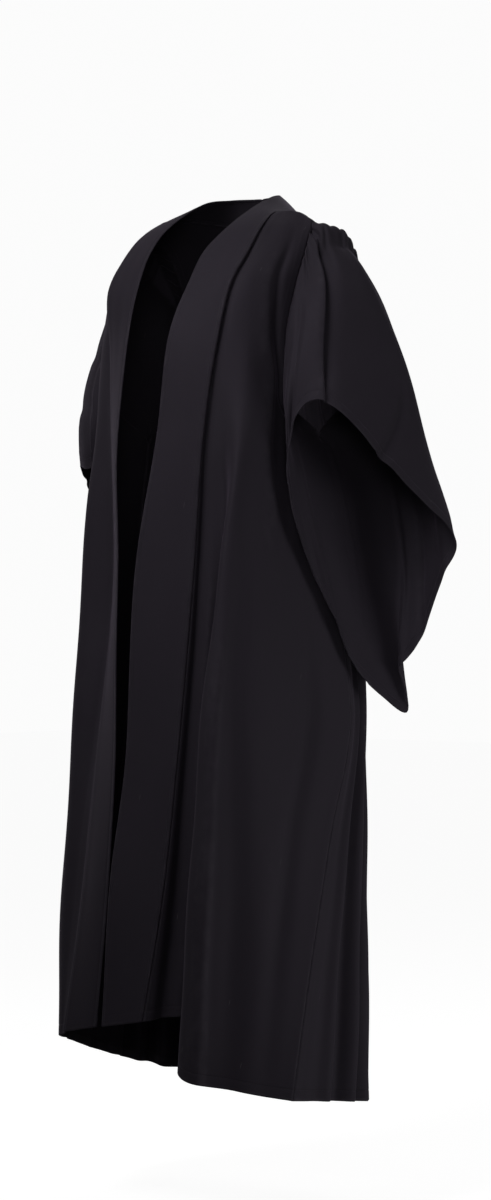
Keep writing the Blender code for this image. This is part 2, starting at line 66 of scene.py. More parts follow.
def aim(azimuth, elevation, distance):
    # the point at that distance: azimuth 0 is in front, 90 on the wearer's left
    a, e = np.radians(azimuth), np.radians(elevation)
    return distance * np.array((np.sin(a) * np.cos(e), -np.cos(a) * np.cos(e), np.sin(e)))


def makeCamera():
    lens = bpy.data.cameras.new("camera")
    lens.lens = view["lens"]
    lens.sensor_width = 36.0
    lens.clip_end = 60.0
    camera = bpy.data.objects.new("camera", lens)
    turn = np.radians(view["azimuth"])
    right = np.array((np.cos(turn), np.sin(turn), 0.0))
    camera.location = aim(view["azimuth"], 0, view["away"]) + right * view["aside"] + (0, 0, view["height"])
    camera.rotation_euler = (np.pi / 2, 0, turn)
    bpy.context.scene.collection.objects.link(camera)
    bpy.context.scene.camera = camera


def onlySeen(tree, extra, base, socket):
    # base, plus extra where the camera looks straight at it
    glow = tree.nodes.new("ShaderNodeMath")
    glow.operation = "MULTIPLY_ADD"
    tree.links.new(tree.nodes.new("ShaderNodeLightPath").outputs["Is Camera Ray"], glow.inputs[0])
    glow.inputs[1].default_value = extra
    glow.inputs[2].default_value = base
    tree.links.new(glow.outputs[0], socket)


def makeStudio():
    # a flat floor of pale paper, with nothing behind the gown, so that it shows from every side
    reach, floorZ = studio["floorReach"], studio["floorZ"]
    corners = [(-reach, -reach, floorZ), (reach, -reach, floorZ), (reach, reach, floorZ), (-reach, reach, floorZ)]
    mesh = bpy.data.meshes.new("paperFloor")
    mesh.from_pydata(corners, [], [(0, 1, 2, 3)])
    paper = bpy.data.objects.new("paperFloor", mesh)
    material = bpy.data.materials.new("studioPaper")
    material.use_nodes = True
    shader = material.node_tree.nodes["Principled BSDF"].inputs
    for label, value in studio["paper"].items():
        shader[label].default_value = value
    onlySeen(material.node_tree, studio["glow"], 0.0, shader["Emission Strength"])
    mesh.materials.append(material)
    bpy.context.scene.collection.objects.link(paper)

    world = bpy.data.worlds.new("studioAir")
    world.use_nodes = True
    background = world.node_tree.nodes["Background"]
    background.inputs["Color"].default_value = (1, 1, 1, 1)
    onlySeen(world.node_tree, studio["airGlow"], studio["world"], background.inputs["Strength"])
    bpy.context.scene.world = world
    for name, (azimuth, elevation, distance, size, watts, height, spread) in studio["lights"].items():
        lamp = bpy.data.lights.new(name, "AREA")
        lamp.shape = "SQUARE"
        lamp.size = size
        lamp.energy = watts
        holder = bpy.data.objects.new(name, lamp)
        lamp.spread = np.radians(spread)
        holder.location = aim(azimuth, elevation, distance) + (0, 0, height)
        holder.rotation_euler = (np.pi / 2 - np.radians(elevation), 0, np.radians(azimuth))
        bpy.context.scene.collection.objects.link(holder)
    bpy.context.scene.view_settings.view_transform = "Standard"


makeCamera()
makeStudio()
print("camera and studio made")


# Curves and grids

def smoothStep(x):
    # 0 below 0, 1 above 1, an S between
    x = np.clip(x, 0, 1)
    return x * x * (3 - 2 * x)


def smoothCurve(places, rows, at, level=False):
    # cubic pieces through the rows; each row's slope comes from its neighbours on both sides.
    # a level curve lies flat where it turns, so it never overshoots
    places, rows, at = np.asarray(places, float), np.asarray(rows, float), np.asarray(at, float)
    slopes = np.gradient(rows, places, axis=0)
    if level:
        steps = np.diff(rows, axis=0) / np.diff(places)[:, None]
        product = steps[:-1] * steps[1:]
        total = np.where(product > 0, steps[:-1] + steps[1:], 1.0)
        slopes[1:-1] = np.where(product > 0, 2 * product / total, 0.0)
    left = np.clip(np.searchsorted(places, at) - 1, 0, len(places) - 2)
    length = (places[left + 1] - places[left])[:, None]
    s = (at - places[left])[:, None] / length
    return ((2 * s ** 3 - 3 * s ** 2 + 1) * rows[left] + (3 * s ** 2 - 2 * s ** 3) * rows[left + 1]
            + length * ((s ** 3 - 2 * s ** 2 + s) * slopes[left] + (s ** 3 - s ** 2) * slopes[left + 1]))


def straightCurve(places, rows, at):
    # straight runs between the rows
    return np.stack([np.interp(at, places, rows[:, axis]) for axis in range(rows.shape[1])], axis=1)


def lengthShares(points):
    # each point's share of the way along its line, 0 to 1
    steps = np.linalg.norm(np.diff(points, axis=0), axis=1)
    return np.concatenate(([0.0], np.cumsum(steps))) / steps.sum()


def metresAlong(grid, axis):
    # metres from the first point of each row (axis 1) or column (axis 0)
    steps = np.linalg.norm(np.diff(grid, axis=axis), axis=-1)
    start = np.zeros_like(np.take(steps, [0], axis=axis))
    return np.concatenate((start, np.cumsum(steps, axis=axis)), axis=axis)


def mirrored(points):
    return points * np.array((-1.0, 1.0, 1.0))


def graded(count, first=(), last=()):
    # even shares from 0 to 1, with closer ones at given shares from the first or the last end
    shares = np.concatenate((np.linspace(0, 1, count + 1), first, 1 - np.array(last)))
    return np.unique(np.round(shares, 6))


def outwardOf(grid, closed=False):
    # unit normal: the step down a column crossed with the step along a row
    down = np.gradient(grid, axis=0)
    along = np.roll(grid, -1, axis=1) - np.roll(grid, 1, axis=1) if closed else np.gradient(grid, axis=1)
    normal = np.cross(down, along)
    return normal / np.linalg.norm(normal, axis=-1, keepdims=True)


# The cut, shared by the panels that are sewn together
cut = {
    "yokeSeamZ": -0.130,
    "underarmZ": -0.360,
    "shoulderTip": (0.165, -0.004, -0.036),
    "armEase": 1.35,
    # front seam of the yoke: share of the way from band to shoulder, x, y, z
    "shoulderSeam": (
        (0.00, 0.110, -0.028, -0.023),
        (0.28, 0.125, -0.014, -0.0195),
        (0.55, 0.141, -0.008, -0.0225),
        (1.00, 0.165, -0.004, -0.036),
    ),
    "seamBlend": 0.025,          # how far below the shoulder seam the front has its own form
    "topDrop": 0.008,
}
# how finely each length is cut; extra shares bring points close to seams and hems
backEnds = (0.0007, 0.0014, 0.0024, 0.0045, 0.0062)
fine = {
    "arm": graded(38, first=(0.002, 0.005, 0.009, 0.015, 0.022)),
    "skirt": graded(96, last=(0.0009, 0.002, 0.004, 0.0066, 0.0095, 0.0122, 0.0136, 0.0150, 0.0164, 0.019)),
    "backArm": graded(24, first=(0.003, 0.008, 0.014, 0.022, 0.032)),
    "neck": 66,
    "yokeDown": graded(24, first=(0.006, 0.014, 0.024), last=(0.005, 0.012, 0.022)),
    "yokeArm": 30,
    "band": graded(20, first=(0.008, 0.022, 0.045, 0.07, 0.085), last=(0.01, 0.025, 0.06)),
    "front": graded(96, first=(0.002, 0.004, 0.007, 0.012, 0.019, 0.027), last=(0.002, 0.004, 0.007, 0.012, 0.019)),
    "back": graded(280, first=backEnds, last=backEnds),
}


def shoulderSeam(at):
    rows = np.array(cut["shoulderSeam"])
    return smoothCurve(rows[:, 0], rows[:, 1:], at)


def rowShares(hemZ):
    # shares of the way from shoulder to side hem: the armhole's rows, closer at the top, then the skirt's
    topZ = cut["shoulderTip"][2]
    underarm = (cut["underarmZ"] - topZ) / (hemZ - topZ)
    return np.concatenate((underarm * fine["arm"] ** cut["armEase"], underarm + (1 - underarm) * fine["skirt"][1:]))


armRows = len(fine["arm"]) - 1
backArmRows = len(fine["backArm"]) - 1
neckRows = fine["neck"]


# Front bands
bandCloth = {
    "thickness": 0.0022,
    "neckRow": 3,                # table row that lies at the shoulder seam
    "crown": 0.0016,             # the doubled strip stands up a little between its edges
    # one row a section, from the centre back of the neck to the hem: free edge x, y, z, seam edge x, y, z
    "left": (
        (0.000, 0.070, 0.012, 0.000, 0.090, -0.028),
        (0.048, 0.054, 0.012, 0.068, 0.078, -0.024),
        (0.066, 0.010, 0.004, 0.104, 0.016, -0.018),
        (0.067, -0.032, -0.015, 0.110, -0.028, -0.023),
        (0.065, -0.080, -0.044, 0.122, -0.070, -0.048),
        (0.056, -0.125, -0.086, 0.128, -0.108, -0.090),
        (0.052, -0.150, -0.130, 0.128, -0.140, -0.130),
        (0.050, -0.191, -0.210, 0.121, -0.166, -0.222),
        (0.043, -0.209, -0.350, 0.109, -0.180, -0.345),
        (0.021, -0.231, -0.545, 0.099, -0.191, -0.545),
        (0.005, -0.238, -0.840, 0.084, -0.212, -0.835),
        (-0.009, -0.255, -1.020, 0.073, -0.231, -1.030),
        (-0.020, -0.262, -1.224, 0.055, -0.255, -1.212),
    ),
    # the right band from the chest down: it hangs further back and turns under
    "rightBelow": (
        (0.052, -0.150, -0.130, 0.126, -0.137, -0.130),
        (0.049, -0.177, -0.210, 0.115, -0.146, -0.222),
        (0.040, -0.206, -0.350, 0.101, -0.158, -0.345),
        (0.030, -0.219, -0.545, 0.090, -0.163, -0.545),
        (0.016, -0.239, -0.840, 0.092, -0.199, -0.835),
        (0.030, -0.238, -1.020, 0.108, -0.211, -1.030),
        (0.060, -0.232, -1.230, 0.136, -0.224, -1.244),
    ),
}
bandCloth["right"] = bandCloth["left"][:6] + bandCloth["rightBelow"]


def bandEdges(table, shares):
    # both long edges: even steps round the neck, then the rows that the front shares
    rows = np.array(table)
    places = lengthShares(rows[:, 3:])
    corner = bandCloth["neckRow"]
    neckAt = np.linspace(0, places[corner], neckRows + 1)
    seamZ = rows[corner:, 5]
    frontAt = np.interp(-(seamZ[0] + shares * (seamZ[-1] - seamZ[0])), -seamZ, places[corner:])
    both = smoothCurve(places, rows, np.concatenate((neckAt, frontAt[1:])))
    return both[:, :3], both[:, 3:]


def bandGrid(freeEdge, seamEdge):
    # straight across from the free edge to the seam
    across = fine["band"][None, :, None]
    return freeEdge[:, None] * (1 - across) + seamEdge[:, None] * across


# Fronts
frontCloth = {
    # one row a height: z, then x, y of the valley beside the band, the crest, the middle and the side
    "left": (
        (-0.050, 0.129, -0.061, 0.144, -0.044, 0.162, -0.022, 0.170, -0.013),
        (-0.090, 0.135, -0.100, 0.150, -0.084, 0.168, -0.050, 0.174, -0.033),
        (-0.130, 0.137, -0.134, 0.154, -0.118, 0.170, -0.076, 0.175, -0.051),
        (-0.220, 0.132, -0.159, 0.158, -0.136, 0.168, -0.098, 0.173, -0.073),
        (-0.306, 0.128, -0.166, 0.164, -0.150, 0.170, -0.106, 0.173, -0.070),
        (-0.360, 0.128, -0.166, 0.172, -0.168, 0.175, -0.114, 0.175, 0.000),
        (-0.450, 0.130, -0.162, 0.180, -0.196, 0.188, -0.131, 0.188, 0.000),
        (-0.600, 0.128, -0.164, 0.181, -0.229, 0.208, -0.166, 0.213, 0.000),
        (-0.750, 0.124, -0.172, 0.180, -0.259, 0.221, -0.192, 0.236, -0.001),
        (-0.950, 0.116, -0.179, 0.184, -0.286, 0.233, -0.226, 0.259, -0.074),
        (-1.120, 0.110, -0.184, 0.185, -0.303, 0.241, -0.250, 0.276, -0.134),
        (-1.300, 0.103, -0.190, 0.185, -0.318, 0.250, -0.268, 0.290, -0.189),
    ),
    "right": (
        (-0.050, 0.129, -0.061, 0.144, -0.044, 0.162, -0.022, 0.170, -0.013),
        (-0.090, 0.134, -0.095, 0.150, -0.074, 0.167, -0.044, 0.174, -0.033),
        (-0.130, 0.135, -0.124, 0.153, -0.101, 0.169, -0.066, 0.175, -0.051),
        (-0.220, 0.127, -0.143, 0.150, -0.127, 0.167, -0.092, 0.173, -0.073),
        (-0.306, 0.118, -0.149, 0.150, -0.136, 0.168, -0.102, 0.173, -0.070),
        (-0.360, 0.116, -0.150, 0.154, -0.140, 0.174, -0.100, 0.175, 0.000),
        (-0.450, 0.113, -0.152, 0.162, -0.148, 0.184, -0.098, 0.188, 0.000),
        (-0.600, 0.110, -0.156, 0.165, -0.158, 0.196, -0.104, 0.211, 0.010),
        (-0.750, 0.114, -0.172, 0.168, -0.168, 0.206, -0.102, 0.230, 0.012),
        (-0.950, 0.128, -0.193, 0.174, -0.182, 0.222, -0.106, 0.250, 0.002),
        (-1.120, 0.140, -0.206, 0.180, -0.188, 0.235, -0.108, 0.262, -0.010),
        (-1.300, 0.150, -0.221, 0.172, -0.198, 0.240, -0.107, 0.276, -0.022),
    ),
    "leftHem": (-1.205, -1.272, -1.294, -1.312),
    "rightHem": (-1.249, -1.256, -1.275, -1.298),
    "lineTops": (0.0, 0.12, 0.45, 0.82, 1.0),        # where the lines leave the shoulder seam
    "linePlaces": (0.0, 0.17, 0.46, 0.74, 1.0),      # and their share of the panel's width
}


def frontGrid(table, hem, seamEdge, shares):
    # five long lines, each a level curve over height, joined across by a smooth curve
    rows = np.array(table)
    heights = -rows[:, 0]
    tops = shoulderSeam(frontCloth["lineTops"][1:])
    lines = [seamEdge]
    for number, (top, hemZ) in enumerate(zip(tops, hem)):
        z = top[2] + shares * (hemZ - top[2])
        below = heights > cut["topDrop"] - top[2]
        places = np.concatenate(([-top[2]], heights[below]))
        xy = np.vstack((top[:2], rows[below, 1 + 2 * number:3 + 2 * number]))
        lines.append(np.column_stack((smoothCurve(places, xy, -z, level=True), z)))
    grid = np.stack([smoothCurve(frontCloth["linePlaces"], row, fine["front"]) for row in np.stack(lines, axis=1)])
    seam = shoulderSeam(np.interp(fine["front"], frontCloth["linePlaces"], frontCloth["lineTops"]))
    drop = grid[:1, :, 2] - grid[..., 2]
    return grid + (seam - grid[0])[None] * (1 - smoothStep(drop / cut["seamBlend"]))[..., None]


# Back
backCloth = {
    # one row a height: z, x, y of the left side, left blade and left middle, y of the centre,
    # then x, y of the right middle, right blade and right side
    "lines": (
        (-0.130, 0.165, 0.075, 0.122, 0.092, 0.064, 0.105, 0.110, 0.064, 0.105, 0.122, 0.092, 0.165, 0.075),
        (-0.200, 0.165, 0.085, 0.133, 0.104, 0.072, 0.118, 0.121, 0.072, 0.118, 0.133, 0.104, 0.165, 0.085),
        (-0.300, 0.165, 0.070, 0.146, 0.098, 0.082, 0.121, 0.128, 0.082, 0.121, 0.146, 0.098, 0.165, 0.070),
        (-0.360, 0.175, 0.000, 0.166, 0.070, 0.095, 0.120, 0.130, 0.095, 0.120, 0.166, 0.070, 0.175, 0.000),
        (-0.550, 0.205, 0.000, 0.190, 0.062, 0.112, 0.117, 0.131, 0.112, 0.117, 0.190, 0.064, 0.205, 0.008),
        (-0.750, 0.236, -0.001, 0.212, 0.052, 0.130, 0.111, 0.133, 0.130, 0.119, 0.220, 0.068, 0.230, 0.012),
        (-1.000, 0.264, -0.092, 0.253, -0.010, 0.178, 0.080, 0.144, 0.152, 0.125, 0.246, 0.072, 0.254, -0.001),
        (-1.300, 0.290, -0.189, 0.282, -0.056, 0.190, 0.068, 0.156, 0.168, 0.132, 0.270, 0.070, 0.276, -0.022),
    ),
    "signs": (1, 1, 1, 1, -1, -1, -1),
    "hem": (-1.312, -1.326, -1.345, -1.360, -1.345, -1.324, -1.298),
    "linePlaces": (0.0, 0.16, 0.33, 0.5, 0.67, 0.84, 1.0),
    "flutes": 14,
    "topDepth": 0.0030,
    "hemDepth": 0.0135,
    "sideFade": 0.20,
    "wander": 0.5,
    "wanderTurns": 1.4,
    "sewnFlat": 0.012,           # the gathers lie flat in the seam itself and open over this depth
}


def backLines():
    rows = np.insert(np.array(backCloth["lines"]), 7, 0.0, axis=1)
    points = rows[:, 1:].reshape(len(rows), -1, 2)
    points[..., 0] *= backCloth["signs"]
    return -rows[:, 0], points


def backSeam(at):
    # the level seam under the yoke, from the left side to the right
    top = backLines()[1][0]
    xy = smoothCurve(backCloth["linePlaces"], top, at)
    return np.column_stack((xy, np.full(len(at), cut["yokeSeamZ"])))


def backGrid(leftSide, rightSide):
    # seven long lines joined across, then thrown into flutes: depth * sine, fading to the side seams
    heights, rows = backLines()
    armZ = cut["yokeSeamZ"] + fine["backArm"] * (cut["underarmZ"] - cut["yokeSeamZ"])
    lines = []
    for number, hemZ in enumerate(backCloth["hem"]):
        z = np.concatenate((armZ, cut["underarmZ"] + fine["skirt"][1:] * (hemZ - cut["underarmZ"])))
        lines.append(np.column_stack((smoothCurve(heights, rows[:, number], -z, level=True), z)))
    lines[0][backArmRows:] = leftSide
    lines[-1][backArmRows:] = rightSide
    at = fine["back"]
    base = np.stack([smoothCurve(backCloth["linePlaces"], row, at) for row in np.stack(lines, axis=1)])
    across = np.gradient(base, axis=1)
    out = np.stack((across[..., 1], -across[..., 0], np.zeros_like(across[..., 0])), axis=-1)
    out /= np.linalg.norm(out, axis=-1, keepdims=True)
    down = lengthShares(base[:, base.shape[1] // 2])[:, None]
    depth = backCloth["topDepth"] + (backCloth["hemDepth"] - backCloth["topDepth"]) * down
    fade = smoothStep(np.minimum(at, 1 - at) / backCloth["sideFade"])[None]
    wander = backCloth["wander"] * np.sin(2 * np.pi * backCloth["wanderTurns"] * at)
    wave = np.sin(2 * np.pi * backCloth["flutes"] * at + wander)[None]
    sewn = smoothStep((cut["yokeSeamZ"] - base[..., 2]) / backCloth["sewnFlat"])
    return base + out * (depth * wave * fade * sewn)[..., None]


# Yoke
yokeCloth = {
    "crown": 0.006,
    "crownFullY": 0.08,
    "crownLean": (0.0, 0.8, 0.6),
    "armMiddle": (0.166, 0.040, -0.064),
    "armMiddleAt": 0.45,
    "seamColumns": 7,            # columns over which the ribs turn into the shoulder seam
}


def yokeArmEdge(count):
    corner = np.append(backLines()[1][0, 0], cut["yokeSeamZ"])
    rows = (cut["shoulderTip"], yokeCloth["armMiddle"], corner)
    return smoothCurve((0.0, yokeCloth["armMiddleAt"], 1.0), rows, np.linspace(0, 1, count + 1))


def yokeGrid(neckEdge):
    # straight ribs from the neck edge to the outer edge, crowned between: crown * half a sine
    arm = yokeArmEdge(fine["yokeArm"])
    backColumns = 2 * neckRows - 2 * fine["yokeArm"]
    backX = np.linspace(arm[-1, 0], -arm[-1, 0], backColumns + 1)
    dense = backSeam(np.linspace(0, 1, 400))[::-1]
    backY = np.interp(backX, dense[:, 0], dense[:, 1])
    back = np.column_stack((backX, backY, np.full(len(backX), cut["yokeSeamZ"])))
    outer = np.vstack((arm, back[1:-1], mirrored(arm)[::-1]))
    down = fine["yokeDown"]
    grid = neckEdge[None] * (1 - down)[:, None, None] + outer[None] * down[:, None, None]
    towardBack = np.clip(grid[..., 1] / yokeCloth["crownFullY"], 0, 1)
    grid += (yokeCloth["crown"] * np.sin(np.pi * down)[:, None] * towardBack)[..., None] * yokeCloth["crownLean"]
    turn = shoulderSeam(down) - grid[:, 0]
    fade = 1 - smoothStep(np.arange(grid.shape[1]) / yokeCloth["seamColumns"])
    grid += turn[:, None] * fade[None, :, None]
    grid += mirrored(turn)[:, None] * fade[None, ::-1, None]
    return grid


# Sleeves
sleeveCloth = {
    # one row a line down from the armhole, from the underarm up the front, over and down the back:
    # share of the armhole, upper x, y, z, lower x, y, z, cuff x, y, z
    "lines": (
        (0.00, 0.193, 0.010, -0.392, 0.224, 0.022, -0.545, 0.251, 0.016, -0.718),
        (0.10, 0.186, -0.074, -0.350, 0.212, -0.072, -0.470, 0.228, -0.044, -0.605),
        (0.20, 0.184, -0.092, -0.290, 0.204, -0.102, -0.380, 0.214, -0.098, -0.490),
        (0.30, 0.190, -0.078, -0.210, 0.204, -0.102, -0.300, 0.206, -0.106, -0.395),
        (0.38, 0.200, -0.058, -0.165, 0.218, -0.090, -0.255, 0.218, -0.101, -0.330),
        (0.455, 0.212, -0.032, -0.126, 0.240, -0.067, -0.236, 0.258, -0.085, -0.311),
        (0.51, 0.226, -0.002, -0.108, 0.262, -0.026, -0.248, 0.290, -0.053, -0.346),
        (0.56, 0.236, 0.020, -0.106, 0.288, 0.024, -0.270, 0.318, -0.016, -0.400),
        (0.61, 0.238, 0.042, -0.124, 0.306, 0.060, -0.302, 0.344, 0.036, -0.457),
        (0.67, 0.224, 0.086, -0.158, 0.300, 0.092, -0.360, 0.360, 0.089, -0.505),
        (0.77, 0.206, 0.116, -0.230, 0.275, 0.128, -0.430, 0.330, 0.087, -0.590),
        (0.86, 0.196, 0.110, -0.305, 0.245, 0.126, -0.505, 0.298, 0.073, -0.668),
        (0.90, 0.194, 0.090, -0.335, 0.239, 0.108, -0.540, 0.277, 0.066, -0.706),
        (0.935, 0.192, 0.064, -0.360, 0.232, 0.086, -0.560, 0.281, 0.078, -0.762),
    ),
    "stations": (0.0, 0.30, 0.66, 1.0),
    "headStart": 0.42,
    "headWidth": 0.34,
    "headLean": (0.45, 0.0, 0.9),
    "puff": 0.022,
    "puffEnd": 0.18,
    # the right cuff hangs closer and further back, and its front edge lies lower
    "rightSwing": (-0.008, 0.018, 0.0),
    "rightEdgeShift": (0.009, -0.008, -0.085),
    "rightEdgeAt": 0.43,
    "rightEdgeWidth": 0.10,
    # runs of the ring, from share to share with a number of points: close over the pleated head
    "ringRuns": ((0, 0.40, 62), (0.40, 0.70, 150), (0.447, 0.467, 29), (0.70, 1, 52)),
}
ringPoints = np.concatenate([np.linspace(*run) for run in sleeveCloth["ringRuns"]])
sleeveRing = np.unique(np.round(ringPoints, 6))[:-1]
sleeveDown = graded(112, first=(0.002, 0.0045, 0.0075, 0.0115, 0.016, 0.022, 0.03),
                    last=(0.0012, 0.003, 0.007, 0.013, 0.019, 0.024, 0.028, 0.032))


def armholeLoop(frontSide, backSide):
    # from the underarm up the front, over the shoulder and down the back, back to the underarm
    loop = np.vstack((frontSide[::-1], yokeArmEdge(fine["yokeArm"])[1:], backSide[1:]))
    return straightCurve(lengthShares(loop), loop, sleeveRing)


def sleeveGrid(loop):
    # each line runs through the armhole, the upper arm, the lower arm and the cuff
    rows = np.array(sleeveCloth["lines"])
    places = np.concatenate((rows[-3:, 0] - 1, rows[:, 0], rows[:3, 0] + 1))
    wrapped = np.vstack((rows[-3:, 1:], rows[:, 1:], rows[:3, 1:]))
    rings = smoothCurve(places, wrapped, sleeveRing)
    stops = (loop, rings[:, :3], rings[:, 3:6], rings[:, 6:])
    flat = smoothCurve(sleeveCloth["stations"], np.stack([stop.reshape(-1) for stop in stops]), sleeveDown)
    grid = flat.reshape(len(sleeveDown), len(sleeveRing), 3)
    top = np.clip((sleeveRing - sleeveCloth["headStart"]) / sleeveCloth["headWidth"], 0, 1)[None]
    fall = np.clip(sleeveDown / sleeveCloth["puffEnd"], 0, 1)[:, None]
    puff = sleeveCloth["puff"] * np.sin(np.pi * fall) ** 2 * np.sin(np.pi * top)
    return grid + puff[..., None] * sleeveCloth["headLean"]


# Creases, seams and hems: everything that moves the cloth along its own outward direction

def creaseRelief(across, shares, places, creases):
    # each crease is a line down the panel with a bell across it: height * exp(-(metres off / width)^2).
    # rows of a crease: share down, place across, height mm, width mm before the line, width mm after it
    relief = np.zeros_like(across)
    row = np.arange(len(across))
    for points in creases.values():
        points = np.array(points, float)
        inside = np.clip(shares, points[0, 0], points[-1, 0])
        line = smoothCurve(points[:, 0], points[:, 1:], inside, level=True)
        column = np.interp(line[:, 0], places, np.arange(len(places)))
        low = np.minimum(column.astype(int), across.shape[1] - 2)
        part = column - low
        middle = across[row, low] * (1 - part) + across[row, low + 1] * part
        off = across - middle[:, None]
        width = np.where(off < 0, line[:, 2:3], line[:, 3:4]) / 1000
        beyond = np.where((shares < points[0, 0]) | (shares > points[-1, 0]), 0.0, 1.0)
        relief += (line[:, 1] * beyond)[:, None] / 1000 * np.exp(-(off / width) ** 2)
    return relief


unevenWaves = ((1.0, 1.0, 0.0), (0.7, 1.53, 1.3), (0.5, 0.587, 2.1))       # height, turns, start of each


def uneven(x, length):
    # a wave that never quite repeats: three sines whose lengths don't divide each other
    turns = 2 * np.pi * x / length
    return sum(height * np.sin(pace * turns + start) for height, pace, start in unevenWaves) / 1.9


seamSewn = {
    "groove": 0.0010, "grooveWidth": 0.0017,         # where the two cloths turn in
    "layers": 0.00035, "layersWidth": 0.011,         # the allowance pressed under one side
    "layersRise": 0.002, "layersFall": 0.003,
    "pucker": 0.00035, "puckerReach": 0.013, "puckerLength": 0.019,
}
hemTurned = {
    "deep": 0.0145,              # turned up this far
    "layer": 0.0008,             # and this much thicker inside
    "edge": 0.0012,              # over which the turned layer ends
    "stitchDent": 0.00030, "stitchWidth": 0.0011,
    "ripple": 0.0012, "rippleReach": 0.055, "rippleLength": 0.085,
}


def seamRelief(off, along, groove=1.0, layers=1.0, pucker=1.0):
    # groove: a narrow bell down; layers: a low step up to the allowance's width; pucker: short uneven waves
    s = seamSewn
    step = smoothStep(off / s["layersRise"]) * (1 - smoothStep((off - s["layersWidth"]) / s["layersFall"]))
    drawn = np.exp(-(off / s["puckerReach"]) ** 2) * uneven(along, s["puckerLength"])
    return (-groove * s["groove"] * np.exp(-(off / s["grooveWidth"]) ** 2) + layers * s["layers"] * step
            + pucker * s["pucker"] * drawn)


def hemRelief(off, along, ripple=1.0):
    # a dent along the stitches, and long low ripples that fade upwards
    h = hemTurned
    dent = -h["stitchDent"] * np.exp(-((off - h["deep"]) / h["stitchWidth"]) ** 2)
    return dent + ripple * h["ripple"] * np.exp(-off / h["rippleReach"]) * uneven(along, h["rippleLength"])


driftWaves = ((1.0, 0.29, 0.37, 0.0), (0.8, 0.41, -0.23, 1.9))      # height, metres down and across, start
driftFade = 0.06                 # metres from a seam


def driftRelief(across, down, edge, size):
    # two slanting waves of cloth that isn't quite flat, fading out near every seam
    waves = sum(height * np.sin(2 * np.pi * (down / lower + across / wider) + start)
                for height, lower, wider, start in driftWaves)
    return size * waves * smoothStep(edge / driftFade)


# three rows a part: share of the pleat's length, how far back, share of its depth, mm of width before and after
pleatParts = {
    "fold": ((0.0, 0.0, 0.8, 2.2, 4.5), (0.35, 0.0, 1.0, 3.0, 7.5), (1.0, 0.0, 0.0, 7.0, 12.0)),
    "hollow": ((0.0, 0.004, -0.9, 3.5, 1.6), (0.35, 0.006, -0.8, 5.5, 2.8), (1.0, 0.010, 0.0, 10.0, 7.0)),
}


def pleatsAt(places, lengths, depths, spread):
    # knife pleats run down from a seam: each is a sharp fold with a soft hollow behind it
    creases = {}
    for number, (place, length, depth) in enumerate(zip(places, lengths, depths)):
        lean = place + spread * (place - np.mean(places))
        spots = (place, (place + lean) / 2, lean)
        for part, rows in pleatParts.items():
            creases[f"{part}{number}"] = [(down * length, spot - behind, share * depth, before, after)
                                          for spot, (down, behind, share, before, after) in zip(spots, rows)]
    return creases


def clothWall(name, grid, normals, outer, inner, maps, fields, closed=False):
    # a closed wall: the grid moved out and in, its open edges joined by a rounded rim
    rows, columns = grid.shape[:2]
    count = rows * columns
    ids = np.arange(count).reshape(rows, columns)
    if closed:
        ids = np.hstack((ids, ids[:, :1]))
    spots = np.arange(ids.size).reshape(ids.shape)

    def quads(table):
        return np.stack((table[:-1, :-1], table[1:, :-1], table[1:, 1:], table[:-1, 1:]), axis=-1).reshape(-1, 4)

    def borders(table):
        if closed:
            return [table[0, ::-1], table[-1]]
        return [np.concatenate((table[0, ::-1], table[1:, 0], table[-1, 1:], table[-2::-1, -1]))]

    rimIds = np.unique(np.concatenate(borders(ids)))
    rimOf = np.full(count, -1)
    rimOf[rimIds] = 2 * count + np.arange(len(rimIds))
    row, column = rimIds // columns, rimIds % columns
    insideRow = np.clip(row, 1, rows - 2)
    insideColumn = column if closed else np.clip(column, 1, columns - 2)
    away = grid[row, column] - grid[insideRow, insideColumn]
    away /= np.linalg.norm(away, axis=-1, keepdims=True)
    half = (outer + inner)[row, column][:, None] / 2
    middle = grid[row, column] + normals[row, column] * ((outer - inner)[row, column] / 2)[:, None]
    points = np.vstack(((grid + normals * outer[..., None]).reshape(-1, 3),
                        (grid - normals * inner[..., None]).reshape(-1, 3), middle + away * half))
    faces = [quads(ids), quads(ids)[:, ::-1] + count]
    faceSpots = [quads(spots), quads(spots)[:, ::-1]]
    for border, where in zip(borders(ids), borders(spots)):
        start, end, startSpot, endSpot = border[:-1], border[1:], where[:-1], where[1:]
        faces += [np.column_stack((end, start, rimOf[start], rimOf[end])),
                  np.column_stack((rimOf[end], rimOf[start], start + count, end + count))]
        faceSpots += [np.column_stack((endSpot, startSpot, startSpot, endSpot))] * 2
    faces, faceSpots = np.vstack(faces).astype(np.int32), np.vstack(faceSpots)

    mesh = bpy.data.meshes.new(name)
    mesh.vertices.add(len(points))
    mesh.vertices.foreach_set("co", points.astype(np.float32).ravel())
    mesh.loops.add(faces.size)
    mesh.loops.foreach_set("vertex_index", faces.ravel())
    mesh.polygons.add(len(faces))
    mesh.polygons.foreach_set("loop_start", np.arange(0, faces.size, 4, dtype=np.int32))
    mesh.update(calc_edges=True)
    for label, values in maps.items():
        layer = mesh.uv_layers.new(name=label)
        layer.uv.foreach_set("vector", values.reshape(-1, 2)[faceSpots.ravel()].astype(np.float32).ravel())
    for label, values in fields.items():
        flat = values.ravel()
        spread = np.concatenate((flat, flat, flat[rimIds])).astype(np.float32)
        mesh.attributes.new(label, "FLOAT", "POINT").data.foreach_set("value", spread)
    mesh.shade_smooth()
    piece = bpy.data.objects.new(name, mesh)
    bpy.context.scene.collection.objects.link(piece)
    print(name, len(points), "points", 2 * len(faces), "triangles")
    return piece


def wrapMap(table, around):
    # repeats a ring's first column after its last, a whole turn on, so that the map has no jump
    table = np.concatenate((table, table[:, :1]), axis=1)
    table[:, -1, 0] = around[:, 0]
    return table
# Materials

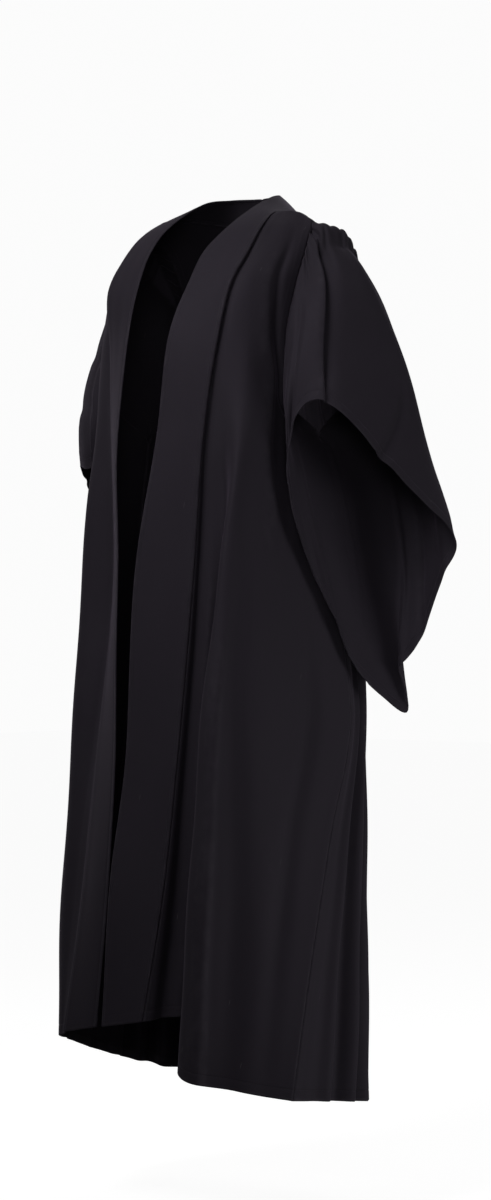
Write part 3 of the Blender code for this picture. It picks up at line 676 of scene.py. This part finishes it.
class Nodes:
    # adds nodes to one tree; an input is linked where it is a socket and set where it is a value
    def __init__(self, tree):
        self.tree = tree

    def feed(self, socket, value):
        if isinstance(value, bpy.types.NodeSocket):
            self.tree.links.new(value, socket)
        else:
            socket.default_value = value

    def put(self, kind, inputs, **settings):
        node = self.tree.nodes.new("ShaderNode" + kind)
        for label, value in settings.items():
            setattr(node, label, value)
        for label, value in inputs.items():
            self.feed(node.inputs[label], value)
        return node

    def calc(self, operation, *values):
        return self.put("Math", dict(enumerate(values)), operation=operation).outputs[0]

    def plus(self, first, second):
        return self.calc("ADD", first, second)

    def minus(self, first, second):
        return self.calc("SUBTRACT", first, second)

    def times(self, first, second):
        return self.calc("MULTIPLY", first, second)

    def over(self, first, second):
        return self.calc("DIVIDE", first, second)

    def ramp(self, value, low, high):
        # an S from 0 at low to 1 at high, level outside them
        return self.put("MapRange", {"Value": value, "From Min": low, "From Max": high},
                        interpolation_type="SMOOTHSTEP").outputs["Result"]

    def mix(self, share, first, second):
        return self.put("Mix", {0: share, 6: first, 7: second}, data_type="RGBA").outputs[2]

    def noise(self, vector, scale, detail, rough, **settings):
        return self.put("TexNoise", {"Vector": vector, "Scale": scale, "Detail": detail, "Roughness": rough},
                        **settings).outputs[0]


def effectGroup(name, given, made):
    # a group with its named sockets: a vector where no value is given, else a number
    group = bpy.data.node_groups.new(name, "ShaderNodeTree")
    for label, value in given.items():
        kind = "NodeSocketVector" if value is None else "NodeSocketFloat"
        socket = group.interface.new_socket(label, in_out="INPUT", socket_type=kind)
        if value is not None:
            socket.default_value = value
    for label in made:
        group.interface.new_socket(label, in_out="OUTPUT", socket_type="NodeSocketFloat")
    return Nodes(group), group.nodes.new("NodeGroupInput").outputs, group.nodes.new("NodeGroupOutput").inputs


weave = {
    "rib": 0.35, "single": 0.15,                     # how high the diagonal ribs and the single threads stand
    "streaks": ((1400.0, 26.0, 1.0), (30.0, 1500.0, 1.0)),       # scales of the slubs down and across
}


def makeTwill():
    # height: diagonal ribs crossed by single threads; tone: slubs, long thin streaks along both threads
    n, given, made = effectGroup("twillWeave", {"Cloth Map": None, "Thread": 0.0005, "Streaks": 0.5},
                                 ("Height", "Tone"))
    thread = n.put("CombineXYZ", {"X": given["Thread"], "Y": given["Thread"], "Z": 1.0}).outputs[0]
    threads = n.put("VectorMath", {0: given["Cloth Map"], 1: thread}, operation="DIVIDE").outputs[0]
    apart = n.put("SeparateXYZ", {0: threads}).outputs
    rib = n.calc("SINE", n.times(n.plus(apart["X"], apart["Y"]), np.pi / 2))
    single = n.calc("SINE", n.times(apart["Y"], 2 * np.pi))
    n.feed(made["Height"], n.plus(n.plus(n.times(rib, weave["rib"]), n.times(single, weave["single"])), 0.5))
    streaks = []
    for scale in weave["streaks"]:
        along = n.put("Mapping", {"Vector": given["Cloth Map"], "Scale": scale}, vector_type="POINT").outputs[0]
        streaks.append(n.noise(along, 1.0, 2.0, 0.5, noise_dimensions="2D"))
    n.feed(made["Tone"], n.plus(n.times(n.minus(n.plus(*streaks), 1.0), given["Streaks"]), 0.5))
    return n.tree


wearAndShadingSizes = {
    "crest": (0.6, 3.0), "crestHighlightShare": 0.55,         # mm of rise over which a crest is lightened, a painted highlight, and how much
    "hollow": (-0.5, -4.0),                          # mm of fall over which a trough is darkened: painted shade
    "patches": (0.36, 0.68), "patchScale": 55.0,
}


def makeWearAndShading():
    # first output: worn close to an edge or seam, with a painted highlight on crests, broken up by noise; second
    # output: painted shade down in the troughs
    n, given, made = effectGroup("wearAndPaintedShading", {"Place": None, "Edge": 1.0, "Rise": 0.0, "Reach": 0.005},
                                 ("Edge Wear And Crest Highlight", "Hollow"))
    near = n.minus(1.0, n.ramp(n.over(given["Edge"], given["Reach"]), 0.0, 1.0))
    crest = n.times(n.ramp(given["Rise"], *wearAndShadingSizes["crest"]), wearAndShadingSizes["crestHighlightShare"])
    patches = n.ramp(n.noise(given["Place"], wearAndShadingSizes["patchScale"], 4.0, 0.6), *wearAndShadingSizes["patches"])
    n.feed(made["Edge Wear And Crest Highlight"], n.times(n.calc("MAXIMUM", near, crest), patches))
    n.feed(made["Hollow"], n.ramp(given["Rise"], *wearAndShadingSizes["hollow"]))
    return n.tree


fluff = {
    "specks": 42.0, "speckSize": (0.020, 0.006), "specksKept": 0.9,
    "fibres": (60.0, 5.0, 1.0), "fibreTurn": 0.7, "fibreSize": (0.03, 0.012), "fibresKept": 0.94, "fibreShare": 0.6,
    "dustScale": 7.0, "dust": (0.42, 0.75),
}


def makeLint():
    # sparse specks and short fibres: small dots round scattered points, and the same drawn out along one line
    n, given, made = effectGroup("lintAndDust", {"Place": None, "Cloth Map": None, "Amount": 0.5}, ("Lint", "Dust"))

    def scattered(vector, scale, size, kept, **settings):
        cells = n.put("TexVoronoi", {"Vector": vector, "Scale": scale}, feature="F1", **settings).outputs
        chosen = n.calc("GREATER_THAN", n.put("SeparateColor", {0: cells["Color"]}).outputs[0], kept)
        return n.times(n.ramp(cells["Distance"], *size), chosen)

    dots = scattered(given["Place"], fluff["specks"], fluff["speckSize"], fluff["specksKept"])
    turned = n.put("Mapping", {"Vector": given["Cloth Map"], "Rotation": (0.0, 0.0, fluff["fibreTurn"]),
                               "Scale": fluff["fibres"]}, vector_type="POINT").outputs[0]
    fibres = scattered(turned, 1.0, fluff["fibreSize"], fluff["fibresKept"], voronoi_dimensions="2D")
    lint = n.calc("MAXIMUM", dots, n.times(fibres, fluff["fibreShare"]))
    n.feed(made["Lint"], n.times(lint, given["Amount"]))
    cloud = n.noise(given["Place"], fluff["dustScale"], 5.0, 0.62)
    n.feed(made["Dust"], n.times(n.ramp(cloud, *fluff["dust"]), given["Amount"]))
    return n.tree


stitching = {
    "line": (0.5, 1.3), "sunk": (1.0, 3.5),          # in thread widths from the middle of the row
    "dash": (0.34, 0.44),                            # in stitches from the middle of each
    "sinks": -0.7, "stands": 1.1,
}


def makeStitches():
    # one row of stitches beside an edge: a line at the offset, cut into dashes, each dash rounded
    n, given, made = effectGroup(
        "stitchRow", {"Edge Map": None, "Offset": 0.0145, "Pitch": 0.0028, "Width": 0.0004}, ("Stitch", "Height"))
    apart = n.put("SeparateXYZ", {0: given["Edge Map"]}).outputs
    off = n.over(n.calc("ABSOLUTE", n.minus(apart["Y"], given["Offset"])), given["Width"])
    step = n.calc("FRACT", n.over(apart["X"], given["Pitch"]))
    dash = n.minus(1.0, n.ramp(n.calc("ABSOLUTE", n.minus(step, 0.5)), *stitching["dash"]))
    stitch = n.times(n.minus(1.0, n.ramp(off, *stitching["line"])), dash)
    n.feed(made["Stitch"], stitch)
    sunk = n.times(n.minus(1.0, n.ramp(off, *stitching["sunk"])), stitching["sinks"])
    n.feed(made["Height"], n.plus(sunk, n.times(stitch, stitching["stands"])))
    return n.tree


effects = {"twill": makeTwill(), "wearAndShading": makeWearAndShading(), "lint": makeLint(), "stitches": makeStitches()}
finish = {
    "deep": (0.0110, 0.0094, 0.0124, 1.0),
    "pale": (0.0180, 0.0153, 0.0202, 1.0),
    # the colour of worn edges, also painted on crests as a highlight
    "wearAndCrestHighlight": (0.030, 0.0275, 0.0325, 1.0),
    "lint": (0.16, 0.155, 0.16, 1.0),
    "dust": (0.026, 0.0245, 0.0275, 1.0),
    "thread": (0.0150, 0.0140, 0.0165, 1.0),
    "rough": 0.74,
    "rubReach": 0.005, "stitchWidth": 0.0004,
    # how much dust, worn edges with their painted crest highlight, and painted trough shade are mixed in
    "shares": {"dust": 0.35, "wearAndCrestHighlight": 0.4, "hollow": 0.35},
    "roughBy": {"tone": 0.10, "wearAndCrestHighlight": 0.10, "stitch": 0.18, "dust": 0.10},
    "crumples": (16.0, 3.0, 0.55),                   # noise scale, detail, roughness
    # bumps: height in metres, strength
    "woven": (0.00010, 0.7), "soft": (0.004, 0.5), "sewn": (0.00035, 0.8),
    "sockets": {
        "Specular IOR Level": 0.24, "Specular Tint": (0.90, 0.78, 1.0, 1.0),
        "Sheen Weight": 0.10, "Sheen Roughness": 0.40, "Sheen Tint": (0.62, 0.50, 0.70, 1.0),
    },
    # per kind of piece: thread size, streaks, lint, stitch offset, stitch pitch, how much the cloth is crumpled
    "kinds": {
        "gown": dict(thread=0.00052, streaks=0.5, lint=0.5, offset=0.0145, pitch=0.0029, crumple=0.5),
        "band": dict(thread=0.00052, streaks=0.4, lint=0.4, offset=0.0045, pitch=0.0027, crumple=0.3),
    },
}


def clothFinish(name, kind, shift):
    # black matt cloth: deep and pale threads, worn edges, a painted highlight on crests and painted shade in troughs,
    # a little lint, a stitched row, a woven bump
    look, shares, roughBy = finish["kinds"][kind], finish["shares"], finish["roughBy"]
    material = bpy.data.materials.new(name)
    material.use_nodes = True
    n = Nodes(material.node_tree)
    shader = n.tree.nodes["Principled BSDF"].inputs

    def effect(key, inputs):
        return n.put("Group", inputs, node_tree=effects[key]).outputs

    def bump(key, height, under, size=1.0):
        distance, strength = finish[key]
        return n.put("Bump", {"Height": height, "Distance": distance * size, "Strength": strength, **under}).outputs[0]

    place = n.put("Mapping", {"Vector": n.put("TexCoord", {}).outputs["Object"], "Location": (shift, 0.0, 0.0)},
                  vector_type="POINT").outputs[0]
    clothMap = n.put("UVMap", {}, uv_map="clothMap").outputs[0]
    edgeMap = n.put("UVMap", {}, uv_map="edgeMap").outputs[0]
    edge = n.put("Attribute", {}, attribute_name="edgeMetres").outputs["Fac"]
    rise = n.put("Attribute", {}, attribute_name="riseMm").outputs["Fac"]
    twill = effect("twill", {"Cloth Map": clothMap, "Thread": look["thread"], "Streaks": look["streaks"]})
    # worn edges and seams, a painted highlight on crests and painted shade in troughs, all from the relief
    wearAndShading = effect("wearAndShading", {"Place": place, "Edge": edge, "Rise": rise, "Reach": finish["rubReach"]})
    lint = effect("lint", {"Place": place, "Cloth Map": clothMap, "Amount": look["lint"]})
    stitches = effect("stitches", {"Edge Map": edgeMap, "Offset": look["offset"], "Pitch": look["pitch"],
                                   "Width": finish["stitchWidth"]})

    colour = n.mix(twill["Tone"], finish["deep"], finish["pale"])
    # dust; worn edges with a painted highlight on crests; painted shade in the troughs, mixed toward the deep thread
    # colour
    for mask, key, shade in ((lint["Dust"], "dust", "dust"), (wearAndShading["Edge Wear And Crest Highlight"], "wearAndCrestHighlight", "wearAndCrestHighlight"),
                             (wearAndShading["Hollow"], "hollow", "deep")):
        colour = n.mix(n.times(mask, shares[key]), colour, finish[shade])
    colour = n.mix(stitches["Stitch"], colour, finish["thread"])
    n.feed(shader["Base Color"], n.mix(lint["Lint"], colour, finish["lint"]))

    rough = n.plus(finish["rough"], n.times(n.minus(twill["Tone"], 0.5), roughBy["tone"]))
    rough = n.minus(rough, n.times(wearAndShading["Edge Wear And Crest Highlight"], roughBy["wearAndCrestHighlight"]))
    rough = n.minus(rough, n.times(stitches["Stitch"], roughBy["stitch"]))
    n.feed(shader["Roughness"], n.plus(rough, n.times(lint["Dust"], roughBy["dust"])))

    woven = bump("woven", twill["Height"], {})
    soft = bump("soft", n.noise(place, *finish["crumples"]), {"Normal": woven}, look["crumple"])
    n.feed(shader["Normal"], bump("sewn", stitches["Height"], {"Normal": soft}))
    for label, value in finish["sockets"].items():
        shader[label].default_value = value
    return material


print("effects made:", ", ".join(effects))


# The pieces

def fromFar(places):
    # the same shares on a panel whose columns run the other way
    return 1 - places[::-1]


def addPiece(name, node, kind, places, creases, sewn, flat, held, area=None, stitched="bottom",
             closed=False, drift=0.0010, ripple=1.0, shift=0.0, thickness=0.0012):
    # sewn: edges that carry a seam, with how strongly; stitched: the edge that the stitch row follows
    grid, shares = grids[node], downOf[node]
    across, down = metresAlong(grid, 1), metresAlong(grid, 0)
    around = across[:, -1:]
    if closed:
        around = around + np.linalg.norm(grid[:, :1] - grid[:, -1:], axis=-1)
    far = {"top": (down, across), "bottom": (down[-1:] - down, across),
           "first": (across, down), "last": (around - across, down)}
    relief = creaseRelief(across, shares, places, creases)
    nearest = np.full_like(across, 1.0)
    for edge, strength in sewn.items():
        relief += seamRelief(*far[edge], **strength)
        nearest = np.minimum(nearest, far[edge][0])
    relief += driftRelief(across, down, nearest, drift)
    outer = np.full_like(across, thickness / 2)
    inner = outer.copy()
    if ripple:
        relief += hemRelief(*far["bottom"], ripple=ripple)
        turned = 1 - smoothStep((far["bottom"][0] - hemTurned["deep"] + hemTurned["edge"]) / hemTurned["edge"])
        inner += hemTurned["layer"] * turned
    dressed = grid + outwardOf(grid, closed) * relief[..., None]
    side = np.minimum(across, around - across)
    edges = np.minimum(np.minimum(down, down[-1:] - down), 1.0 if closed else side)
    edgeMap = np.stack((down, side) if stitched == "both" else far[stitched][::-1], axis=-1)
    clothMap = np.stack((across, -down), axis=-1)
    if closed:
        clothMap, edgeMap = wrapMap(clothMap, around), wrapMap(edgeMap, around)
    piece = clothWall(name, dressed, outwardOf(dressed, closed), outer, inner,
                      {"clothMap": clothMap, "edgeMap": edgeMap},
                      {"edgeMetres": edges, "riseMm": relief * 1000}, closed)
    piece.data.materials.append(clothFinish(name + "Cloth", kind, shift))
    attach(piece, "root")
    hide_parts(node)


leftShares, rightShares = rowShares(frontCloth["leftHem"][-1]), rowShares(frontCloth["rightHem"][-1])
leftFree, leftSeam = bandEdges(bandCloth["left"], leftShares)
rightFree, rightSeam = bandEdges(bandCloth["right"], leftShares)
grids = {
    "band_left": bandGrid(leftFree, leftSeam),
    "band_right": mirrored(bandGrid(rightFree, rightSeam))[:, ::-1],
    "front_left": frontGrid(frontCloth["left"], frontCloth["leftHem"], leftSeam[neckRows:], leftShares),
}
rightFront = frontGrid(frontCloth["right"], frontCloth["rightHem"], rightSeam[neckRows:], rightShares)
grids["front_right"] = mirrored(rightFront)[:, ::-1]
grids["back"] = backGrid(grids["front_left"][armRows:, -1], mirrored(rightFront)[armRows:, -1])
grids["yoke"] = yokeGrid(np.vstack((leftSeam[:neckRows + 1][::-1], mirrored(leftSeam[1:neckRows + 1]))))
leftBackSide = grids["back"][:backArmRows + 1, 0]
rightBackSide = mirrored(grids["back"][:backArmRows + 1, -1])
grids["sleeve_left"] = sleeveGrid(armholeLoop(grids["front_left"][:armRows + 1, -1], leftBackSide))
rightSleeve = sleeveGrid(armholeLoop(rightFront[:armRows + 1, -1], rightBackSide))
rightEdge = np.exp(-((sleeveRing - sleeveCloth["rightEdgeAt"]) / sleeveCloth["rightEdgeWidth"]) ** 2)[None, :, None]
swing = (sleeveDown[:, None, None] ** 3 * np.array(sleeveCloth["rightSwing"])
         + sleeveDown[:, None, None] ** 2 * rightEdge * np.array(sleeveCloth["rightEdgeShift"]))
grids["sleeve_right"] = mirrored(rightSleeve + swing)[:, ::-1]
for name, grid in grids.items():
    long = metresAlong(grid, 0)[-1]
    wide = metresAlong(grid, 1)[:, -1]
    print(name, "down", np.round((long.min(), long.max()), 3), "across", np.round((wide[0], wide[-1]), 3))

# Creases of each panel: share down, place across, height mm, width mm before and after the line
frontCreases = {
    "left": {
        "besideBand": (
            (0.0, 0.02, -1.0, 3, 6), (0.06, 0.025, -4.0, 3, 7), (0.16, 0.025, -6.0, 3.5, 9),
            (0.30, 0.03, -6.5, 4, 10), (0.45, 0.035, -7.0, 5, 13), (0.60, 0.045, -9.5, 7, 16),
            (0.76, 0.05, -12.0, 9, 18), (1.0, 0.055, -11.5, 10, 18)),
        "besideArm": (
            (0.03, 0.62, 0.0, 6, 5), (0.10, 0.68, -3.5, 6, 6), (0.16, 0.78, -3.5, 6, 6), (0.22, 0.90, -4.5, 6, 5),
            (0.29, 0.86, -3.5, 8, 8), (0.37, 0.84, -1.5, 12, 9), (0.46, 0.83, 0.0, 12, 10)),
        "armRise": (
            (0.05, 0.56, 0.0, 12, 7), (0.10, 0.58, 3.0, 14, 7), (0.16, 0.64, 4.5, 18, 7), (0.22, 0.76, 5.0, 22, 6),
            (0.29, 0.74, 5.0, 22, 9), (0.37, 0.76, 3.0, 24, 14), (0.46, 0.74, 0.0, 20, 16)),
        "crest": (
            (0.40, 0.09, 0.0, 8, 12), (0.52, 0.085, 5.0, 8, 12), (0.68, 0.08, 9.0, 8, 14), (0.83, 0.09, 10.0, 9, 15),
            (1.0, 0.095, 8.0, 9, 14)),
        "stripe": (
            (0.46, 0.555, 0.0, 8, 8), (0.60, 0.565, 7.0, 10, 8), (0.76, 0.575, 10.0, 11, 9),
            (0.92, 0.575, 9.5, 12, 10), (1.0, 0.57, 7.0, 12, 11)),
        "underArm": (
            (0.46, 0.91, 0.0, 12, 10), (0.60, 0.90, -6.0, 16, 14), (0.74, 0.885, -7.0, 18, 16),
            (0.88, 0.88, -4.5, 18, 16), (1.0, 0.87, -2.5, 20, 18)),
        "flank": (
            (0.28, 0.54, 0.0, 12, 14), (0.37, 0.575, -3.5, 14, 16), (0.45, 0.635, -5.5, 18, 20),
            (0.55, 0.65, -8.0, 20, 22), (0.68, 0.68, -9.0, 22, 24), (0.83, 0.715, -9.0, 24, 26),
            (0.93, 0.71, -7.5, 24, 28), (1.0, 0.70, -5.0, 24, 28)),
    },
    "right": {
        "besideBand": ((0.12, 0.93, 0.0, 8, 4), (0.35, 0.93, -2.0, 12, 5), (1.0, 0.94, -2.5, 16, 7)),
        "flank": ((0.25, 0.42, 0.0, 10, 10), (0.60, 0.40, -4.5, 13, 15), (1.0, 0.38, -5.0, 16, 18)),
        "besideArm": ((0.03, 0.15, 0.0, 6, 8), (0.12, 0.16, -2.5, 8, 10), (0.30, 0.18, 0.0, 12, 12)),
    },
}
bandCreases = {
    "left": {"edge": ((0.12, 0.97, 0.0, 6, 2.5), (0.22, 0.97, 2.0, 8, 2.5), (1.0, 0.97, 1.5, 9, 2.5)),
             "roll": ((0.16, 0.45, 0.0, 12, 12), (0.22, 0.42, -1.2, 14, 12), (0.34, 0.40, 0.0, 16, 14))},
    "right": {"roll": ((0.16, 0.55, 0.0, 12, 12), (0.24, 0.58, -1.2, 12, 14), (0.36, 0.60, 0.0, 14, 16))},
}
yokeCreases = {
    "leftDrag": ((0.2, 0.20, 0.0, 9, 9), (0.6, 0.21, -0.9, 12, 10), (1.0, 0.22, -0.5, 12, 12)),
    "rightDrag": ((0.2, 0.79, 0.0, 9, 9), (0.7, 0.80, -1.0, 10, 12), (1.0, 0.80, -0.4, 12, 12)),
}
# the back's gathers are uneven: their lengths and depths follow slow sines of their number
gatherPlaces = (
    0.06, 0.085, 0.115, 0.138, 0.172, 0.198, 0.231, 0.252, 0.288, 0.311, 0.349, 0.372, 0.401, 0.437, 0.459, 0.492,
    0.521, 0.549, 0.583, 0.607, 0.641, 0.667, 0.701, 0.724, 0.761, 0.786, 0.822, 0.844, 0.878, 0.903, 0.936)
gather = np.arange(len(gatherPlaces))
backGathers = {
    "places": gatherPlaces,
    "lengths": 0.07 + 0.05 * np.sin(5.1 * gather) + 0.03 * np.sin(2.3 * gather + 1),
    "depths": 1.5 + 0.7 * np.sin(3.7 * gather + 0.4),
    "spread": 0.02,
}
backCreases = {
    "deepLeft": (
        (0.15, 0.24, 0.0, 10, 10), (0.45, 0.245, -4.0, 13, 11), (0.80, 0.25, -6.0, 16, 13),
        (1.0, 0.252, -6.0, 18, 15)),
    "deepMiddle": ((0.30, 0.47, 0.0, 9, 9), (0.60, 0.468, 4.0, 12, 13), (1.0, 0.465, 6.0, 16, 17)),
    "deepRight": ((0.10, 0.70, 0.0, 10, 10), (0.50, 0.705, -4.5, 12, 14), (1.0, 0.71, -5.5, 15, 18)),
    "leftSide": ((0.28, 0.10, 0.0, 10, 9), (0.60, 0.105, -3.0, 15, 14), (1.0, 0.11, -4.0, 19, 17)),
    "rightSide": ((0.32, 0.93, 0.0, 9, 10), (0.66, 0.925, -5.0, 12, 13), (1.0, 0.92, -5.5, 15, 17)),
}
sleeveCreases = {
    "longPleat": (
        (0.0, 0.4580, -5.0, 1.1, 12), (0.25, 0.4575, -8.0, 1.1, 18), (0.70, 0.4575, -7.0, 1.2, 16),
        (1.0, 0.4575, -4.0, 1.6, 14)),
    "longPleatEdge": ((0.0, 0.4530, 2.0, 8, 1.0), (0.40, 0.4535, 3.0, 12, 1.0), (1.0, 0.4535, 2.0, 14, 1.6)),
    "frontHollow": (
        (0.05, 0.36, 0.0, 9, 9), (0.40, 0.35, -3.0, 14, 12), (0.90, 0.34, -3.5, 18, 14), (1.0, 0.34, -3.0, 18, 14)),
    "sideFold": ((0.62, 0.59, 0.0, 5, 8), (0.80, 0.575, -3.5, 6, 11), (1.0, 0.553, -4.5, 7, 12)),
    "rearHollow": ((0.10, 0.70, 0.0, 10, 10), (0.50, 0.72, -5.0, 16, 14), (1.0, 0.73, -6.0, 22, 18)),
    "rearFold": ((0.20, 0.82, 0.0, 9, 9), (0.60, 0.83, 4.0, 14, 14), (1.0, 0.84, 5.0, 20, 18)),
    "rearLow": ((0.45, 0.885, 0.0, 6, 6), (0.75, 0.89, -5.0, 8, 7), (1.0, 0.895, -6.0, 10, 8)),
    "underFold": ((0.25, 0.10, 0.0, 9, 9), (0.65, 0.09, -4.0, 13, 13), (1.0, 0.08, -5.0, 17, 17)),
}
# where the right sleeve is drawn in above its cuff
drawnCreases = {
    "pullHigh": (
        (0.38, 0.24, 0.0, 20, 20), (0.47, 0.36, -1.8, 26, 26), (0.56, 0.48, -1.8, 26, 26), (0.64, 0.58, 0.0, 20, 20)),
    "cuffReturn": ((0.84, 0.45, 0.0, 30, 30), (0.94, 0.45, -3.0, 34, 34), (1.0, 0.45, -9.0, 36, 36)),
    "pullLow": (
        (0.57, 0.22, 0.0, 20, 20), (0.67, 0.34, -2.2, 28, 28), (0.77, 0.47, -2.2, 28, 28), (0.86, 0.58, 0.0, 20, 20)),
}
headPleats = {
    "places": (0.395, 0.415, 0.436, 0.476, 0.497, 0.520, 0.544, 0.571, 0.598, 0.628, 0.655),
    "lengths": (0.16, 0.24, 0.14, 0.20, 0.34, 0.18, 0.40, 0.22, 0.30, 0.16, 0.20),
    "depths": (1.4, 2.0, 1.5, 1.8, 2.0, 1.2, 1.8, 1.2, 1.5, 1.0, 0.9),
    "spread": 0.12,
}


def mirroredCreases(creases):
    # the same creases on a panel whose columns run the other way
    return {name: tuple((down, 1 - place, height, after, before) for down, place, height, before, after in points)
            for name, points in creases.items()}


# how strongly each kind of seam shows
seams = {
    "plain": dict(groove=1.0, layers=1.0, pucker=1.0),
    "side": dict(groove=1.5, layers=0.9, pucker=0.9),
    "underBand": dict(groove=1.7, layers=0.0, pucker=0.5),
    "besideBand": dict(groove=0.25, layers=0.0, pucker=0.35),
    "sleeveHead": dict(groove=1.1, layers=0.0, pucker=1.2),
    "gathered": dict(groove=1.6, layers=0.0, pucker=1.5),
    "underYoke": dict(groove=0.2, layers=-1.0, pucker=0.6),
}


def seamsOf(**edges):
    return {edge: seams[kind] for edge, kind in edges.items()}


downOf = {name: lengthShares(grid[:, grid.shape[1] // 2]) for name, grid in grids.items()}
downOf.update(yoke=fine["yokeDown"], sleeve_left=sleeveDown, sleeve_right=sleeveDown)
crown = bandCloth["crown"] * np.sin(np.pi * fine["band"])
for name in ("band_left", "band_right"):
    grids[name] = grids[name] + outwardOf(grids[name]) * crown[None, :, None]

bandSizes = dict(flat=(0.078, 1.46), held="hung", stitched="both", thickness=bandCloth["thickness"], drift=0.0006,
                 ripple=0.4)
addPiece("leftBand", "band_left", "band", fine["band"], bandCreases["left"],
         seamsOf(top="plain", last="besideBand"), shift=0.31, **bandSizes)
addPiece("rightBand", "band_right", "band", fromFar(fine["band"]), bandCreases["right"],
         seamsOf(top="plain", first="besideBand"), shift=0.57, **bandSizes)
addPiece("leftFront", "front_left", "gown", fine["front"], frontCreases["left"],
         seamsOf(top="plain", first="underBand", last="side"),
         flat=(0.46, 1.29), held="hung", area=0.40, shift=0.83)
addPiece("rightFront", "front_right", "gown", fromFar(fine["front"]), frontCreases["right"],
         seamsOf(top="plain", last="underBand", first="plain"),
         flat=(0.36, 1.29), held="hung", area=0.29, shift=1.19)
addPiece("yokePanel", "yoke", "gown", np.linspace(0, 1, grids["yoke"].shape[1]), yokeCreases,
         seamsOf(top="underBand", first="plain", last="plain", bottom="underYoke"),
         flat=(0.40, 0.26), held="hung", area=0.048, drift=0.0006, ripple=0.0, shift=1.43)
addPiece("backPanel", "back", "gown", fine["back"], {**backCreases, **pleatsAt(**backGathers)},
         seamsOf(top="gathered", first="side", last="side"),
         flat=(1.45, 1.25), held="gathered", area=0.95, shift=1.77)
sleeveSizes = dict(sewn=seamsOf(top="sleeveHead", first="plain", last="plain"), flat=(0.95, 0.62), held="gathered",
                   area=0.24, closed=True)
leftCreases = {**sleeveCreases, **pleatsAt(**headPleats)}
addPiece("leftSleeve", "sleeve_left", "gown", sleeveRing, leftCreases, shift=2.11, **sleeveSizes)
addPiece("rightSleeve", "sleeve_right", "gown", fromFar(sleeveRing), mirroredCreases({**leftCreases, **drawnCreases}),
         shift=2.63, **sleeveSizes)
